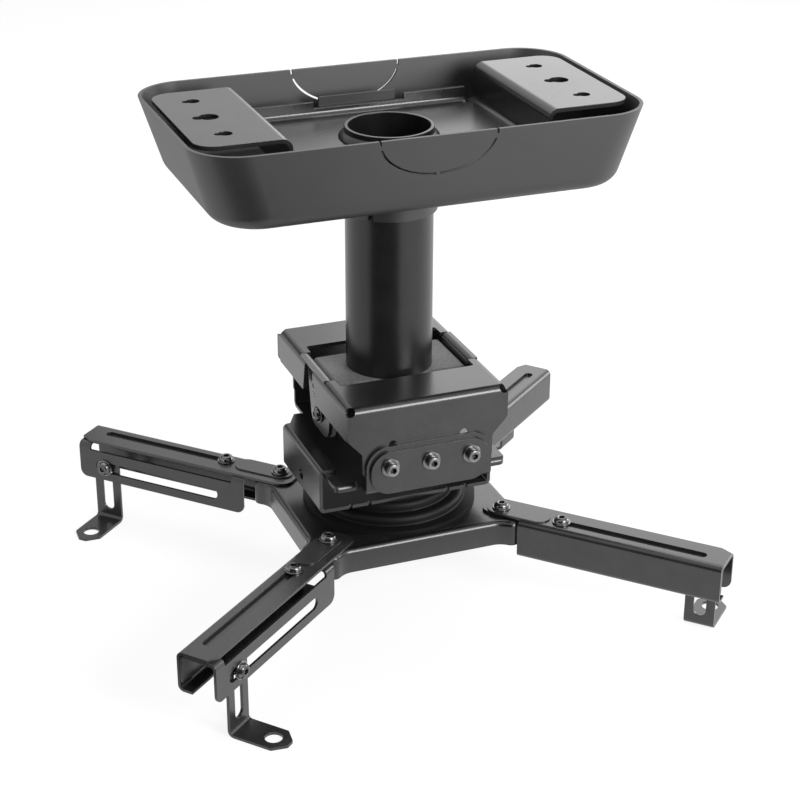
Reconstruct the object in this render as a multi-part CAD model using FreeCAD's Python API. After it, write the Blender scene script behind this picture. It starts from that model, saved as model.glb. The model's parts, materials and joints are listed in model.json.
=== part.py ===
"""Ceiling projector mount: cover, plate, drop pipe, tilting hood, rolling cradle, swivel spider, four arms.

Millimetres, +Z up. The origin is where the pipe's axis meets the ceiling, so the mount hangs below z = 0.
Each arm is drawn along its own u axis (here +X) from its pivot bolt, with v (here +Y) on its
counter-clockwise side, and is then turned and moved to its corner of the spider.
"""
import FreeCAD, Part
import math
import os

V = FreeCAD.Vector

# Clearances
RUN_GAP = 0.08            # radial play of a turning bolt in its hole
FACE_GAP = 0.05           # flat faces that slide on each other
SLOT_PLAY = 0.3           # side play of a bolt in a slot
SEAT_PLAY = 0.1           # bolt in a plain hole of the same body
STRAP_GAP = 0.3           # pipe foot to hood flap
ROLL_CLEAR = 0.3          # hood tongue to the cradle's bend at full roll
HOOK_GAP = 0.1            # channel hook to the cradle's edge
SWING_GAP = 0.7           # turning arm to the spider's skirt

# Ceiling plate: a pan with a raised end on each side
PLATE_T = 3.0
PLATE_BEND = 4.0
PLATE_HALF_X = 148.0
PLATE_HALF_Y = 61.5
PLATE_CORNER = 14.0
RAISED_END = 61.0
PAN_DROP = 26.0
PAN_LIP_H = 10.0
PAN_LIP_INSET = 8.0
PAN_RELIEF = 2.0
LIP_NOTCH_HALF_X = 33.0
LIP_NOTCH_DEPTH = 4.5
ANCHOR_INSET = 24.5
ANCHOR_PITCH_Y = 37.5
ANCHOR_MID = (6.5, 17.2, 7.5)       # keyholes: radius of the round end, whole length, slot width
ANCHOR_SIDE = (4.5, 11.8, 5.4)

# Drop pipe
PIPE_R = 30.15
PIPE_WALL = 2.5
PIPE_LENGTH = 172.1
PIPE_ABOVE_PAN = 7.8
BEAD_LEG = 4.2
BEAD_BULGE = 0.58         # height of the bead's round face against its leg

# Ceiling cover
COVER_MARGIN_X = 7.0      # rim beyond the plate
COVER_MARGIN_Y = 27.0
COVER_CORNER = 34.0
COVER_WALL = 2.5
COVER_DEPTH = 52.5
COVER_DRAFT_X = 16.0      # how far the end walls lean in over the full depth
COVER_DRAFT_Y = 6.0       # the same for the long walls
COVER_EDGE_R = 13.0       # outer rounding between wall and floor
COVER_HOLE_PLAY = 1.2
KNOCK_HALF_X = 39.5
KNOCK_DEPTH = 25.5
KNOCK_SLIT = 1.4
KNOCK_BRIDGE = 2.6
KNOCK_RIM_BRIDGE = 4.7    # depth of the two bridges near the rim
CLIP_HALF_X = 28.0
CLIP_T = 1.8
CLIP_H = 37.3
CLIP_GAP = 1.0

# Cover lock ring
RING_T = 2.6
RING_H = 19.5
RING_PLAY = 0.1
RING_GAP = 4.0
RING_GAP_ANGLE = 227.0
RING_SCREW_ANGLE = 339.0

# Pipe foot: a strap under the pipe with a leg on each side
FOOT_T = 3.0
FOOT_BEND = 1.5
FOOT_HALF_X = 49.0
FOOT_HALF_Y = 24.5
FOOT_TIP_HALF_Y = 17.0
FOOT_TAPER_R = 8.0
FOOT_BELOW_LOCK = 14.0
FOOT_CORNER = 10.0
FOOT_CABLE_R = 14.0

# Tilt: the hood turns about the upper bolts, the lower ones run in curved slots
TILT_DROP = 9.7
TILT_LOCK_DROP = 22.0
TILT_RANGE = 15.0
TILT_SLOT_SPARE = 1.5

# Hood
SHEET = 2.5
SHEET_BEND = 2.5
HOOD_STAND = 4.3          # hood top above the pipe foot
HOOD_SIDE_ROOM = 6.2      # flap to side flange
HOOD_END_ROOM = 39.0      # opening to end flange
HOOD_OPEN_MARGIN = 5.85   # pipe to opening
HOOD_OPEN_CORNER = 2.0
HOOD_SIDE_H = 24.0
HOOD_SIDE_GAP = 0.3       # seam between side and end flanges
HOOD_SIDE_CHAMFER = 4.0
HOOD_NOTCH_FRONT = 3.0    # key notch in each side flange, slanted in front and behind
HOOD_NOTCH_FRONT_FLARE = 8.0
HOOD_NOTCH_BACK = 13.4
HOOD_NOTCH_BACK_FLARE = 4.5
HOOD_RELIEF_R = 3.6
HOOD_SHOULDER_H = 23.0
HOOD_SHOULDER_R = 5.0
TONGUE_INSET = 11.0
TONGUE_TAPER_H = 12.0
TONGUE_TAPER_R = 6.0
TONGUE_CORNER_R = 4.0
TONGUE_FLAT_HALF_X = 9.0
TONGUE_BOTTOM_R = 20.0
FLAP_SHORT = 0.5          # flap end above the end of the pipe foot's leg
FLAP_RELIEF = 1.0

# Roll: the cradle turns about the middle bolts, the outer ones run in curved slots of the hood
ROLL_DROP = 30.0
ROLL_PITCH = 29.5
ROLL_RANGE = 10.0
ROLL_SLOT_SPARE = 2.0
ROLL_SLOT_RISE = 19.0     # spare run at the upper end of the front slots, in degrees

# Cradle, clamp plates and channel
CRADLE_DROP = 18.6
CRADLE_SETBACK = 14.0     # front edge behind the hood's face
CRADLE_OVERHANG = 2.0     # right edge beyond the channel
CRADLE_CORNER = 5.0
CRADLE_LIP = 5.0          # depth of the turned-down front and back edges of the side tabs
CRADLE_LIP_BEND = 1.2
CRADLE_CUT_X = 12.0       # back left corner, cut off to let the channel hook on
CRADLE_CUT_Y = 22.0
LUG_RELIEF = 1.5
LUG_MARGIN = 16.0
LUG_RISE = 14.0
LUG_CORNER = 15.0
CLAMP_MARGIN = 13.5
CLAMP_RISE = 11.0
CLAMP_DROP = 20.0
CLAMP_CORNER = 14.0
CHANNEL_REACH_LEFT = 66.5
CHANNEL_REACH_RIGHT = 62.0
CHANNEL_DEPTH = 27.9
CHANNEL_HALF_Y = 40.0
CHANNEL_BEND = 1.2
CHANNEL_LIP = 12.5
CHANNEL_LEDGE = 16.0
CHANNEL_LOCK_H = 12.0
CHANNEL_LOCK_R = 4.0
CHANNEL_NOTCH_W = 2.2
CHANNEL_NOTCH_D = 2.0
CHANNEL_NOTCH_X = 36.4
CHANNEL_NOTCH_STEP = 7.0
BOSS_R = 24.0
BOSS_H = 1.5
QUICK_INSET = 9.0
QUICK_Y = 22.0

# Spider and swivel disc
SWIVEL_H = 16.0
SPIDER_HALF_X = 77.0
SPIDER_HALF_Y = 68.0
SPIDER_SKIRT = 18.0
SPIDER_BEND = 4.0
SPIDER_CONCAVE_R = 14.0
LEG_HALF_W = 15.0
LEG_TIP = 16.0            # leg end beyond its bolt
LEG_TIP_R = 6.0
LEG_MOUTH_HALF_W = 8.0    # the skirt's end is open between its corners
PIVOT_INSET_X = 11.9
PIVOT_INSET_Y = 13.9
DISC_INSET = 6.0
DISC_RIM = 8.0
DISC_STEP_W = 8.0
DISC_STEP_H = 9.0
DISC_BEND = 1.0

# Arms: u runs outward from the pivot bolt
ARM_T = 2.0
ARM_BEND = 2.5
ARM_H = 29.0
ARM_INNER = -14.0
ARM_END = 166.0
ARM_WALL_V = -12.0
ARM_EDGE_V = 15.0
ARM_LIP = 11.0
ARM_INNER_R = 8.0
ARM_CHAMFER_U = 8.0
ARM_CHAMFER_V = 4.0
ARM_SLOT_START = 45.8
ARM_SLOT_MARGIN = 17.5
PAD_START = -10.0
PAD_TO_SLOT = 8.8
PAD_HALF_W = 8.5
PAD_H = 1.0
PAD_INSET = 1.2
SLIDE_SETBACK = 4.5       # inner end of the slide beyond that of the arm's wall
SLIDE_WALL_PLAY = 0.2
SLIDE_WALL_H = 19.9
SIDE_STANDOFF = 2.5       # side plate beyond the arm's edge
SIDE_ABOVE_WINDOW = 12.5
SIDE_BELOW_WINDOW = 11.0
SIDE_PLATE_CORNER = 6.0
SIDE_TAB = 10.0
SIDE_TAB_REACH = 5.0
WINDOW_DROP = 20.0
WINDOW_MARGIN_IN = 26.5
WINDOW_MARGIN_OUT = 19.0
WINDOW_PLAY = 1.3         # side play of the foot's bolt in the window
INSERT_R = 5.5
INSERT_H = 4.4

# Feet
LEG_T = 2.2
LEG_BEND = 2.5
LEG_HALF_U = 11.0
LEG_ABOVE_BOLT = 6.5
LEG_BELOW_BOLT = 45.5
LEG_SLOT_HALF_W = 4.5
LEG_SLOT_UP = 13.5        # slot end above the sole
BASE_LENGTH = 40.25
BASE_CHAMFER = 8.0
BASE_ROUND = 2.0
BASE_HOLE_INSET = 12.5
BASE_HOLE_R = 5.8

# Arms at rest: corner of the spider, angle about +Z, and the foot's place along its window
ARMS = {
    "left_back": (-1, 1, 133.0, 143.5),
    "left_front": (-1, -1, 220.0, 139.0),
    "right_front": (1, -1, 313.0, 146.0),
    "right_back": (1, 1, 39.5, 141.5),
}

# Fasteners: shank radius, head radius, head height, socket across flats, socket depth
M6_BUTTON = (3.0, 5.4, 3.3, 4.0, 2.0)
M5_CAP = (2.5, 4.4, 5.0, 4.0, 2.6)
M10_LOW = (5.0, 8.0, 5.0, 8.0, 3.2)
M4_PAN = (2.0, 3.6, 2.6, 2.5, 1.4)
M6_WASHER = (6.4, 1.2)
M5_WASHER = (6.4, 1.2)
M10_WASHER = (10.5, 2.0)
M6_NUT = (10.0, 5.0)
M5_NUT = (8.0, 4.0)
M10_NUT = (17.0, 8.0)
THREAD_SPARE = 1.0        # how far a shank stands out of its nut
BUTTON_CROWN = 0.55       # flat top of a domed head, as a share of its radius
BUTTON_BULGE = (0.88, 0.62)         # middle of the dome, as shares of head radius and height
CAP_EDGE = 0.12           # chamfer of a tall head, as a share of its height

# Levels and places that follow from the sizes above, from the ceiling down
PAN_TOP = -PAN_DROP
PAN_BOTTOM = PAN_TOP - PLATE_T
RISER_X = PLATE_HALF_X - RAISED_END
PAN_LIP_HALF_X = RISER_X - PAN_LIP_INSET
ANCHOR_X = PLATE_HALF_X - ANCHOR_INSET
PIPE_TOP = PAN_TOP + PIPE_ABOVE_PAN
COVER_HALF_X = PLATE_HALF_X + COVER_MARGIN_X
COVER_HALF_Y = PLATE_HALF_Y + COVER_MARGIN_Y
RING_TOP = -COVER_DEPTH
RING_IN = PIPE_R + RING_PLAY
RING_OUT = RING_IN + RING_T
FOOT_TOP = PIPE_TOP - PIPE_LENGTH
TILT_Z = FOOT_TOP - TILT_DROP
TILT_LOCK_Z = TILT_Z - TILT_LOCK_DROP
FOOT_BOTTOM = TILT_LOCK_Z - FOOT_BELOW_LOCK
FLAP_BOTTOM = FOOT_BOTTOM + FLAP_SHORT
FLAP_IN = FOOT_HALF_X + STRAP_GAP
FLAP_OUT = FLAP_IN + SHEET
HOOD_BEND = SHEET + SHEET_BEND
HOOD_TOP = FOOT_TOP + HOOD_STAND
HOOD_OPEN_HALF_X = FLAP_IN
HOOD_OPEN_HALF_Y = PIPE_R + HOOD_OPEN_MARGIN
HOOD_HALF_X = FLAP_OUT + HOOD_SIDE_ROOM
HOOD_HALF_Y = HOOD_OPEN_HALF_Y + HOOD_END_ROOM
HOOD_FLAT_X = HOOD_HALF_X - HOOD_BEND
HOOD_SIDE_HALF_Y = HOOD_HALF_Y - SHEET - HOOD_SIDE_GAP
HOOD_SIDE_BOTTOM = HOOD_TOP - HOOD_SIDE_H
HOOD_SHOULDER = HOOD_TOP - HOOD_SHOULDER_H
TONGUE_HALF_X = HOOD_HALF_X - TONGUE_INSET
TONGUE_SHOULDER = HOOD_SHOULDER - TONGUE_TAPER_H
ROLL_Z = TILT_Z - ROLL_DROP
ROLL_XS = (-ROLL_PITCH, 0, ROLL_PITCH)
CRADLE_TOP = ROLL_Z - CRADLE_DROP
CRADLE_BOTTOM = CRADLE_TOP - SHEET
LUG_IN = HOOD_HALF_Y + FACE_GAP
LUG_OUT = LUG_IN + SHEET
LUG_TOP = ROLL_Z + LUG_RISE
LUG_HALF_X = ROLL_PITCH + LUG_MARGIN
CLAMP_OUT = LUG_OUT + SHEET
CLAMP_HALF_X = ROLL_PITCH + CLAMP_MARGIN
CHANNEL_LEFT = -CHANNEL_REACH_LEFT
CHANNEL_RIGHT = CHANNEL_REACH_RIGHT
CHANNEL_TOP = CRADLE_TOP + HOOK_GAP + SHEET
CHANNEL_BOTTOM = CRADLE_BOTTOM - CHANNEL_DEPTH
CRADLE_LEFT = CHANNEL_LEFT + SHEET + CHANNEL_BEND + HOOK_GAP
CRADLE_RIGHT = CHANNEL_RIGHT + CRADLE_OVERHANG
CRADLE_HALF_Y = HOOD_HALF_Y - CRADLE_SETBACK
QUICK_X = CHANNEL_RIGHT - QUICK_INSET
SPIDER_TOP = CHANNEL_BOTTOM - SWIVEL_H
SPIDER_BOTTOM = SPIDER_TOP - SHEET
PIVOT_X = SPIDER_HALF_X - PIVOT_INSET_X
PIVOT_Y = SPIDER_HALF_Y - PIVOT_INSET_Y
PIVOT_REACH = math.hypot(PIVOT_X, PIVOT_Y)
DISC_FLANGE_R = SPIDER_HALF_Y - DISC_INSET
DISC_STEP_R = DISC_FLANGE_R - DISC_RIM
DISC_TOP_R = DISC_STEP_R - DISC_STEP_W
ARM_TOP = SPIDER_TOP + ARM_T
ARM_BOTTOM = ARM_TOP - ARM_H
LEG_CORNER_R = math.hypot(LEG_TIP - LEG_TIP_R, LEG_HALF_W - LEG_TIP_R) + LEG_TIP_R
ARM_SWING_R = LEG_CORNER_R + SWING_GAP
ARM_WALL_START = math.sqrt(ARM_SWING_R ** 2 - (ARM_WALL_V + ARM_T) ** 2)
ARM_SLOT_END = ARM_END - ARM_SLOT_MARGIN
PAD_END = ARM_SLOT_START - PAD_TO_SLOT
SLIDE_START = ARM_WALL_START + SLIDE_SETBACK
SLIDE_TOP = ARM_TOP - ARM_T - SEAT_PLAY
SLIDE_WALL_V = ARM_WALL_V + ARM_T + SLIDE_WALL_PLAY
SLIDE_WALL_BOTTOM = SLIDE_TOP - SLIDE_WALL_H
SIDE_PLATE_V = ARM_EDGE_V + SIDE_STANDOFF
SIDE_GAP_V = SIDE_PLATE_V - SIDE_TAB_REACH
WINDOW_Z = ARM_TOP - WINDOW_DROP
WINDOW_START = SLIDE_START + WINDOW_MARGIN_IN
WINDOW_END = ARM_END - WINDOW_MARGIN_OUT
SIDE_PLATE_TOP = WINDOW_Z + SIDE_ABOVE_WINDOW
SIDE_PLATE_BOTTOM = WINDOW_Z - SIDE_BELOW_WINDOW
LEG_OUTER_V = SIDE_PLATE_V - ARM_T - FACE_GAP
LEG_INNER_V = LEG_OUTER_V - LEG_T
LEG_TOP = WINDOW_Z + LEG_ABOVE_BOLT
BASE_BOTTOM = WINDOW_Z - LEG_BELOW_BOLT
BASE_TIP_V = LEG_INNER_V + BASE_LENGTH
BASE_HOLE_V = BASE_TIP_V - BASE_HOLE_INSET

PLANES = {
    "xy": (FreeCAD.Rotation(), V(0, 0, 1)),
    "xz": (FreeCAD.Rotation(V(1, 0, 0), 90), V(0, 1, 0)),
    "yz": (FreeCAD.Rotation(V(1, 1, 1), 120), V(1, 0, 0)),
}
DOWNWARD = 270.0          # degrees, on an upright plane
FAR = 400.0
TOUCH = 1e-6


# Shape helpers

def rounded_wire(points, radii):
    """Closed outline through flat points, each corner rounded by its own radius."""
    corners = []
    for i, point in enumerate(points):
        here = V(point[0], point[1], 0)
        back = V(points[i - 1][0], points[i - 1][1], 0) - here
        ahead = points[(i + 1) % len(points)]
        front = V(ahead[0], ahead[1], 0) - here
        back.normalize()
        front.normalize()
        if radii[i] <= 0:
            corners.append((here, None, here))
            continue
        half = back.getAngle(front) / 2
        inward = back + front
        inward.normalize()
        reach = radii[i] / math.tan(half)
        middle = here + inward * (radii[i] / math.sin(half) - radii[i])
        corners.append((here + back * reach, middle, here + front * reach))
    edges = []
    for i, (start, middle, end) in enumerate(corners):
        if middle is not None:
            edges.append(Part.Arc(start, middle, end).toShape())
        following = corners[(i + 1) % len(corners)][0]
        if end.distanceToPoint(following) > TOUCH:
            edges.append(Part.LineSegment(end, following).toShape())
    return Part.Wire(edges)


def prism(points, plane, low, high, radii=0.0):
    """Solid of a rounded outline on a main plane, from low to high along the plane's normal."""
    if not isinstance(radii, (list, tuple)):
        radii = [radii] * len(points)
    face = Part.Face(rounded_wire(points, radii))
    rotation, normal = PLANES[plane]
    face.Placement = FreeCAD.Placement(normal * low, rotation)
    return face.extrude(normal * (high - low))


def rect(a0, a1, b0, b1):
    """Corner points of a rectangle, counter-clockwise."""
    return [(a0, b0), (a1, b0), (a1, b1), (a0, b1)]


def block(x0, x1, y0, y1, z0, z1):
    return Part.makeBox(x1 - x0, y1 - y0, z1 - z0, V(x0, y0, z0))


def rod(plane, a, b, radius, low, high):
    """Cylinder along a plane's normal, centred on the plane's point (a, b)."""
    rotation, normal = PLANES[plane]
    return Part.makeCylinder(radius, high - low, rotation.multVec(V(a, b, 0)) + normal * low, normal)


def slot(plane, start, end, half_width, low, high):
    """Straight slot with round ends between two points of a plane."""
    along = V(end[0] - start[0], end[1] - start[1], 0)
    along.normalize()
    side = V(-along.y, along.x, 0) * half_width
    ends = [V(start[0], start[1], 0), V(end[0], end[1], 0)]
    corners = [ends[0] - side, ends[1] - side, ends[1] + side, ends[0] + side]
    body = prism([(c.x, c.y) for c in corners], plane, low, high)
    for point in ends:
        body = body.fuse(rod(plane, point.x, point.y, half_width, low, high))
    return body.removeSplitter()


def arc_slot(plane, centre, radius, half_width, first, last, low, high):
    """Curved slot with round ends, between two angles in degrees about a centre."""
    def at(distance, degrees):
        turn = math.radians(degrees)
        return V(centre[0] + distance * math.cos(turn), centre[1] + distance * math.sin(turn), 0)

    middle = (first + last) / 2
    ends = [(at(radius - half_width, a), at(radius + half_width, a)) for a in (first, last)]
    edges = [
        Part.Arc(ends[0][1], at(radius + half_width, middle), ends[1][1]).toShape(),
        Part.LineSegment(ends[1][1], ends[1][0]).toShape(),
        Part.Arc(ends[1][0], at(radius - half_width, middle), ends[0][0]).toShape(),
        Part.LineSegment(ends[0][0], ends[0][1]).toShape(),
    ]
    face = Part.Face(Part.Wire(edges))
    rotation, normal = PLANES[plane]
    face.Placement = FreeCAD.Placement(normal * low, rotation)
    body = face.extrude(normal * (high - low))
    for angle in (first, last):
        point = at(radius, angle)
        body = body.fuse(rod(plane, point.x, point.y, half_width, low, high))
    return body.removeSplitter()


def folded_outline(path, thickness, bend):
    """Outline and corner radii of a folded sheet: one face follows the path, the sheet lies to its left."""
    steps = []
    for start, end in zip(path, path[1:]):
        step = V(end[0] - start[0], end[1] - start[1], 0)
        step.normalize()
        steps.append(step)
    near = [(path[0][0], path[0][1], 0.0)]
    far = [(path[0][0] - steps[0].y * thickness, path[0][1] + steps[0].x * thickness, 0.0)]
    for corner, before, after in zip(path[1:], steps, steps[1:]):
        left = V(-before.y - after.y, before.x + after.x, 0)
        left.normalize()
        reach = thickness / left.dot(V(-before.y, before.x, 0))
        turns_left = before.cross(after).z > 0
        near.append((corner[0], corner[1], bend + thickness if turns_left else bend))
        far_radius = bend if turns_left else bend + thickness
        far.append((corner[0] + left.x * reach, corner[1] + left.y * reach, far_radius))
    near.append((path[-1][0], path[-1][1], 0.0))
    far.append((path[-1][0] - steps[-1].y * thickness, path[-1][1] + steps[-1].x * thickness, 0.0))
    loop = near + far[::-1]
    return [(x, y) for x, y, _ in loop], [radius for _, _, radius in loop]


def folded(path, thickness, bend, plane, low, high):
    points, radii = folded_outline(path, thickness, bend)
    return prism(points, plane, low, high, radii)


def mirrored(shape, axis):
    return shape.mirror(V(0, 0, 0), axis)


def both(shape, axis):
    """A shape and its mirror image across the origin."""
    return [shape, mirrored(shape, axis)]


def cut_all(shape, tools):
    for tool in tools:
        shape = shape.cut(tool)
    return shape


# Fasteners: drawn along +Z with the underside of the head at z = 0

def hexagon(flats, low, high):
    """Six-sided prism with a flat towards +X."""
    reach = flats / 2 / math.cos(math.pi / 6)
    turns = [math.pi * (k + 0.5) / 3 for k in range(6)]
    return prism([(reach * math.cos(t), reach * math.sin(t)) for t in turns], "xy", low, high)


def button_bolt(size, length):
    """Socket bolt with a low domed head."""
    shank, head, height, flats, depth = size
    crown = head * BUTTON_CROWN
    bulge = V(head * BUTTON_BULGE[0], 0, height * BUTTON_BULGE[1])
    edges = [
        Part.LineSegment(V(0, 0, -length), V(shank, 0, -length)).toShape(),
        Part.LineSegment(V(shank, 0, -length), V(shank, 0, 0)).toShape(),
        Part.LineSegment(V(shank, 0, 0), V(head, 0, 0)).toShape(),
        Part.Arc(V(head, 0, 0), bulge, V(crown, 0, height)).toShape(),
        Part.LineSegment(V(crown, 0, height), V(0, 0, height)).toShape(),
        Part.LineSegment(V(0, 0, height), V(0, 0, -length)).toShape(),
    ]
    body = Part.Face(Part.Wire(edges)).revolve(V(0, 0, 0), V(0, 0, 1), 360)
    return body.cut(hexagon(flats, height - depth, height + 1))


def cap_bolt(size, length):
    """Socket bolt with a tall cylindrical head."""
    shank, head, height, flats, depth = size
    edge = height * CAP_EDGE
    stem = [(0, -length), (shank, -length), (shank, 0)]
    crown = [(head, 0), (head, height - edge), (head - edge, height), (0, height)]
    wire = Part.makePolygon([V(x, 0, z) for x, z in stem + crown + stem[:1]])
    body = Part.Face(wire).revolve(V(0, 0, 0), V(0, 0, 1), 360)
    return body.cut(hexagon(flats, height - depth, height + 1))


def washer(size, hole):
    radius, thickness = size
    return Part.makeCylinder(radius, thickness).cut(Part.makeCylinder(hole, thickness))


def nut(size, hole):
    """Hexagon nut that hangs from z = 0 downwards."""
    flats, height = size
    return hexagon(flats, -height, 0).cut(Part.makeCylinder(hole, height, V(0, 0, -height)))


def aimed(shape, direction, point):
    """A fastener turned from +Z to a direction and moved to a point."""
    placed = shape.copy()
    turn = FreeCAD.Rotation(V(0, 0, 1), direction)
    placed.Placement = FreeCAD.Placement(point, turn).multiply(placed.Placement)
    return placed


# Fixed part: plate, pipe, cover and pipe foot

def anchor_hole(x, y, size):
    """Keyhole along X: a round end about the given point and a narrower slot towards -X."""
    radius, length, width = size
    slot_end = x + radius + width / 2 - length
    cut = slot("xy", (slot_end, y), (x, y), width / 2, -FAR, FAR)
    return cut.fuse(rod("xy", x, y, radius, -FAR, FAR))


def ceiling_plate():
    half = [(PLATE_HALF_X, 0), (RISER_X, 0), (RISER_X, PAN_TOP)]
    path = half + [(-x, z) for x, z in half[::-1]]
    plate = folded(path, PLATE_T, PLATE_BEND, "xz", -PLATE_HALF_Y, PLATE_HALF_Y)
    outline = rect(-PLATE_HALF_X, PLATE_HALF_X, -PLATE_HALF_Y, PLATE_HALF_Y)
    plate = plate.common(prism(outline, "xy", PAN_BOTTOM - 1, 1, PLATE_CORNER))
    relief = PAN_LIP_HALF_X + PAN_RELIEF
    bend_start = PLATE_HALF_Y - PLATE_BEND - PLATE_T
    for side in (-1, 1):
        edges = sorted((side * bend_start, side * (PLATE_HALF_Y + 1)))
        plate = plate.cut(block(-relief, relief, edges[0], edges[1], PAN_BOTTOM - 1, PAN_TOP + 1))
    lip_top = PAN_TOP + PAN_LIP_H
    lip = [(-PLATE_HALF_Y, lip_top), (-PLATE_HALF_Y, PAN_BOTTOM)]
    lips = lip + [(-y, z) for y, z in lip[::-1]]
    tray = folded(lips, PLATE_T, PLATE_BEND, "yz", -PAN_LIP_HALF_X, PAN_LIP_HALF_X)
    notch_bottom = lip_top - LIP_NOTCH_DEPTH
    tray = tray.cut(block(-LIP_NOTCH_HALF_X, LIP_NOTCH_HALF_X, -FAR, FAR, notch_bottom, lip_top + 1))
    plate = plate.fuse(tray).removeSplitter()
    holes = [rod("xy", 0, 0, PIPE_R + SEAT_PLAY, -FAR, FAR)]
    for x in (-ANCHOR_X, ANCHOR_X):
        holes.append(anchor_hole(x, 0, ANCHOR_MID))
        holes += [anchor_hole(x, y, ANCHOR_SIDE) for y in (-ANCHOR_PITCH_Y, ANCHOR_PITCH_Y)]
    return cut_all(plate, holes)


def drop_pipe():
    """Pipe with the weld bead that joins it to the pan."""
    tube = rod("xy", 0, 0, PIPE_R, FOOT_TOP, PIPE_TOP)
    inside = PIPE_R - PIPE_WALL / 2
    bead_top = PAN_TOP + BEAD_LEG
    bulge = BEAD_LEG * BEAD_BULGE
    toe = V(PIPE_R + BEAD_LEG, 0, PAN_TOP)
    crest = V(PIPE_R, 0, bead_top)
    edges = [
        Part.LineSegment(V(inside, 0, PAN_TOP), toe).toShape(),
        Part.Arc(toe, V(PIPE_R + bulge, 0, PAN_TOP + bulge), crest).toShape(),
        Part.LineSegment(crest, V(inside, 0, bead_top)).toShape(),
        Part.LineSegment(V(inside, 0, bead_top), V(inside, 0, PAN_TOP)).toShape(),
    ]
    bead = Part.Face(Part.Wire(edges)).revolve(V(0, 0, 0), V(0, 0, 1), 360)
    bore = rod("xy", 0, 0, PIPE_R - PIPE_WALL, FOOT_TOP - 1, PIPE_TOP + 1)
    return tube.fuse(bead).cut(bore).removeSplitter()


def cover_shell(inset, edge_r, floor):
    """Solid inside the tray's wall line moved in by an inset: a tapered box with a rounded lower edge."""
    def outline(x, y, z):
        points = rect(inset - x, x - inset, inset - y, y - inset)
        wire = rounded_wire(points, [COVER_CORNER - inset] * len(points))
        wire.translate(V(0, 0, z))
        return wire

    share = -floor / COVER_DEPTH
    low_x = COVER_HALF_X - COVER_DRAFT_X * share
    low_y = COVER_HALF_Y - COVER_DRAFT_Y * share
    body = Part.makeLoft([outline(low_x, low_y, floor), outline(COVER_HALF_X, COVER_HALF_Y, 0)], True, True)
    lower = [e for e in body.Edges if max(v.Z for v in e.Vertexes) < floor + TOUCH]
    return body.makeFillet(edge_r, lower)


def knock_out():
    """Half-ellipse slit through a long wall, left joined at three small bridges."""
    def half_disc(grow):
        major, minor = KNOCK_HALF_X + grow, KNOCK_DEPTH + grow
        ellipse = Part.Ellipse(V(0, 0, 0), major, minor)
        face = Part.Face(Part.Wire(ellipse.toShape()))
        rotation, normal = PLANES["xz"]
        face.Placement = FreeCAD.Placement(normal * -FAR, rotation)
        return face.extrude(normal * 2 * FAR)

    slit = half_disc(KNOCK_SLIT / 2).cut(half_disc(-KNOCK_SLIT / 2))
    half_bridge = KNOCK_BRIDGE / 2
    rim_bridge = block(-FAR, FAR, -FAR, FAR, -KNOCK_RIM_BRIDGE - half_bridge, -KNOCK_RIM_BRIDGE + half_bridge)
    return slit.cut(rim_bridge).cut(block(-half_bridge, half_bridge, -FAR, FAR, -FAR, 0))


def ceiling_cover():
    """Moulded tray, open at the ceiling, with a clip behind each lip of the plate."""
    cover = cover_shell(0, COVER_EDGE_R, -COVER_DEPTH)
    hollow = cover_shell(COVER_WALL, COVER_EDGE_R - COVER_WALL, -COVER_DEPTH + COVER_WALL)
    cover = cover.cut(hollow)
    clip_in = PLATE_HALF_Y + CLIP_GAP
    clip_out = clip_in + CLIP_T
    root = -COVER_DEPTH + COVER_WALL / 2
    clip = block(-CLIP_HALF_X, CLIP_HALF_X, clip_in, clip_out, root, root + CLIP_H)
    for tab in both(clip, V(0, 1, 0)):
        cover = cover.fuse(tab)
    cover = cover.removeSplitter()
    bore = rod("xy", 0, 0, PIPE_R + COVER_HOLE_PLAY, -FAR, FAR)
    slit = knock_out().common(block(-FAR, FAR, -FAR, -clip_out - 1, -FAR, FAR))
    return cut_all(cover, [bore] + both(slit, V(0, 1, 0)))


def round_about(shape, degrees):
    turned = shape.copy()
    turned.rotate(V(0, 0, 0), V(0, 0, 1), degrees)
    return turned


def cover_lock_ring():
    ring = rod("xy", 0, 0, RING_OUT, RING_TOP - RING_H, RING_TOP)
    ring = ring.cut(rod("xy", 0, 0, RING_IN, -FAR, FAR))
    gap = block(0, FAR, -RING_GAP / 2, RING_GAP / 2, -FAR, FAR)
    thread = rod("yz", 0, RING_TOP - RING_H / 2, M4_PAN[0] + SEAT_PLAY, 0, FAR)
    return cut_all(ring, [round_about(gap, RING_GAP_ANGLE), round_about(thread, RING_SCREW_ANGLE)])


def lock_ring_screw():
    screw = button_bolt(M4_PAN, RING_OUT - PIPE_R - FACE_GAP)
    return round_about(aimed(screw, V(1, 0, 0), V(RING_OUT, 0, RING_TOP - RING_H / 2)), RING_SCREW_ANGLE)


def strap_outline(bottom):
    """Side outline of the pipe foot's legs and of the hood's flaps, tapered below the tilt axis."""
    half = [
        (FOOT_TIP_HALF_Y, bottom, FOOT_CORNER),
        (FOOT_HALF_Y, TILT_Z, FOOT_TAPER_R),
        (FOOT_HALF_Y, HOOD_TOP + 1, 0),
    ]
    loop = half + [(-y, z, r) for y, z, r in half[::-1]]
    return prism([(y, z) for y, z, _ in loop], "yz", -FAR, FAR, [r for _, _, r in loop])


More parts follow.
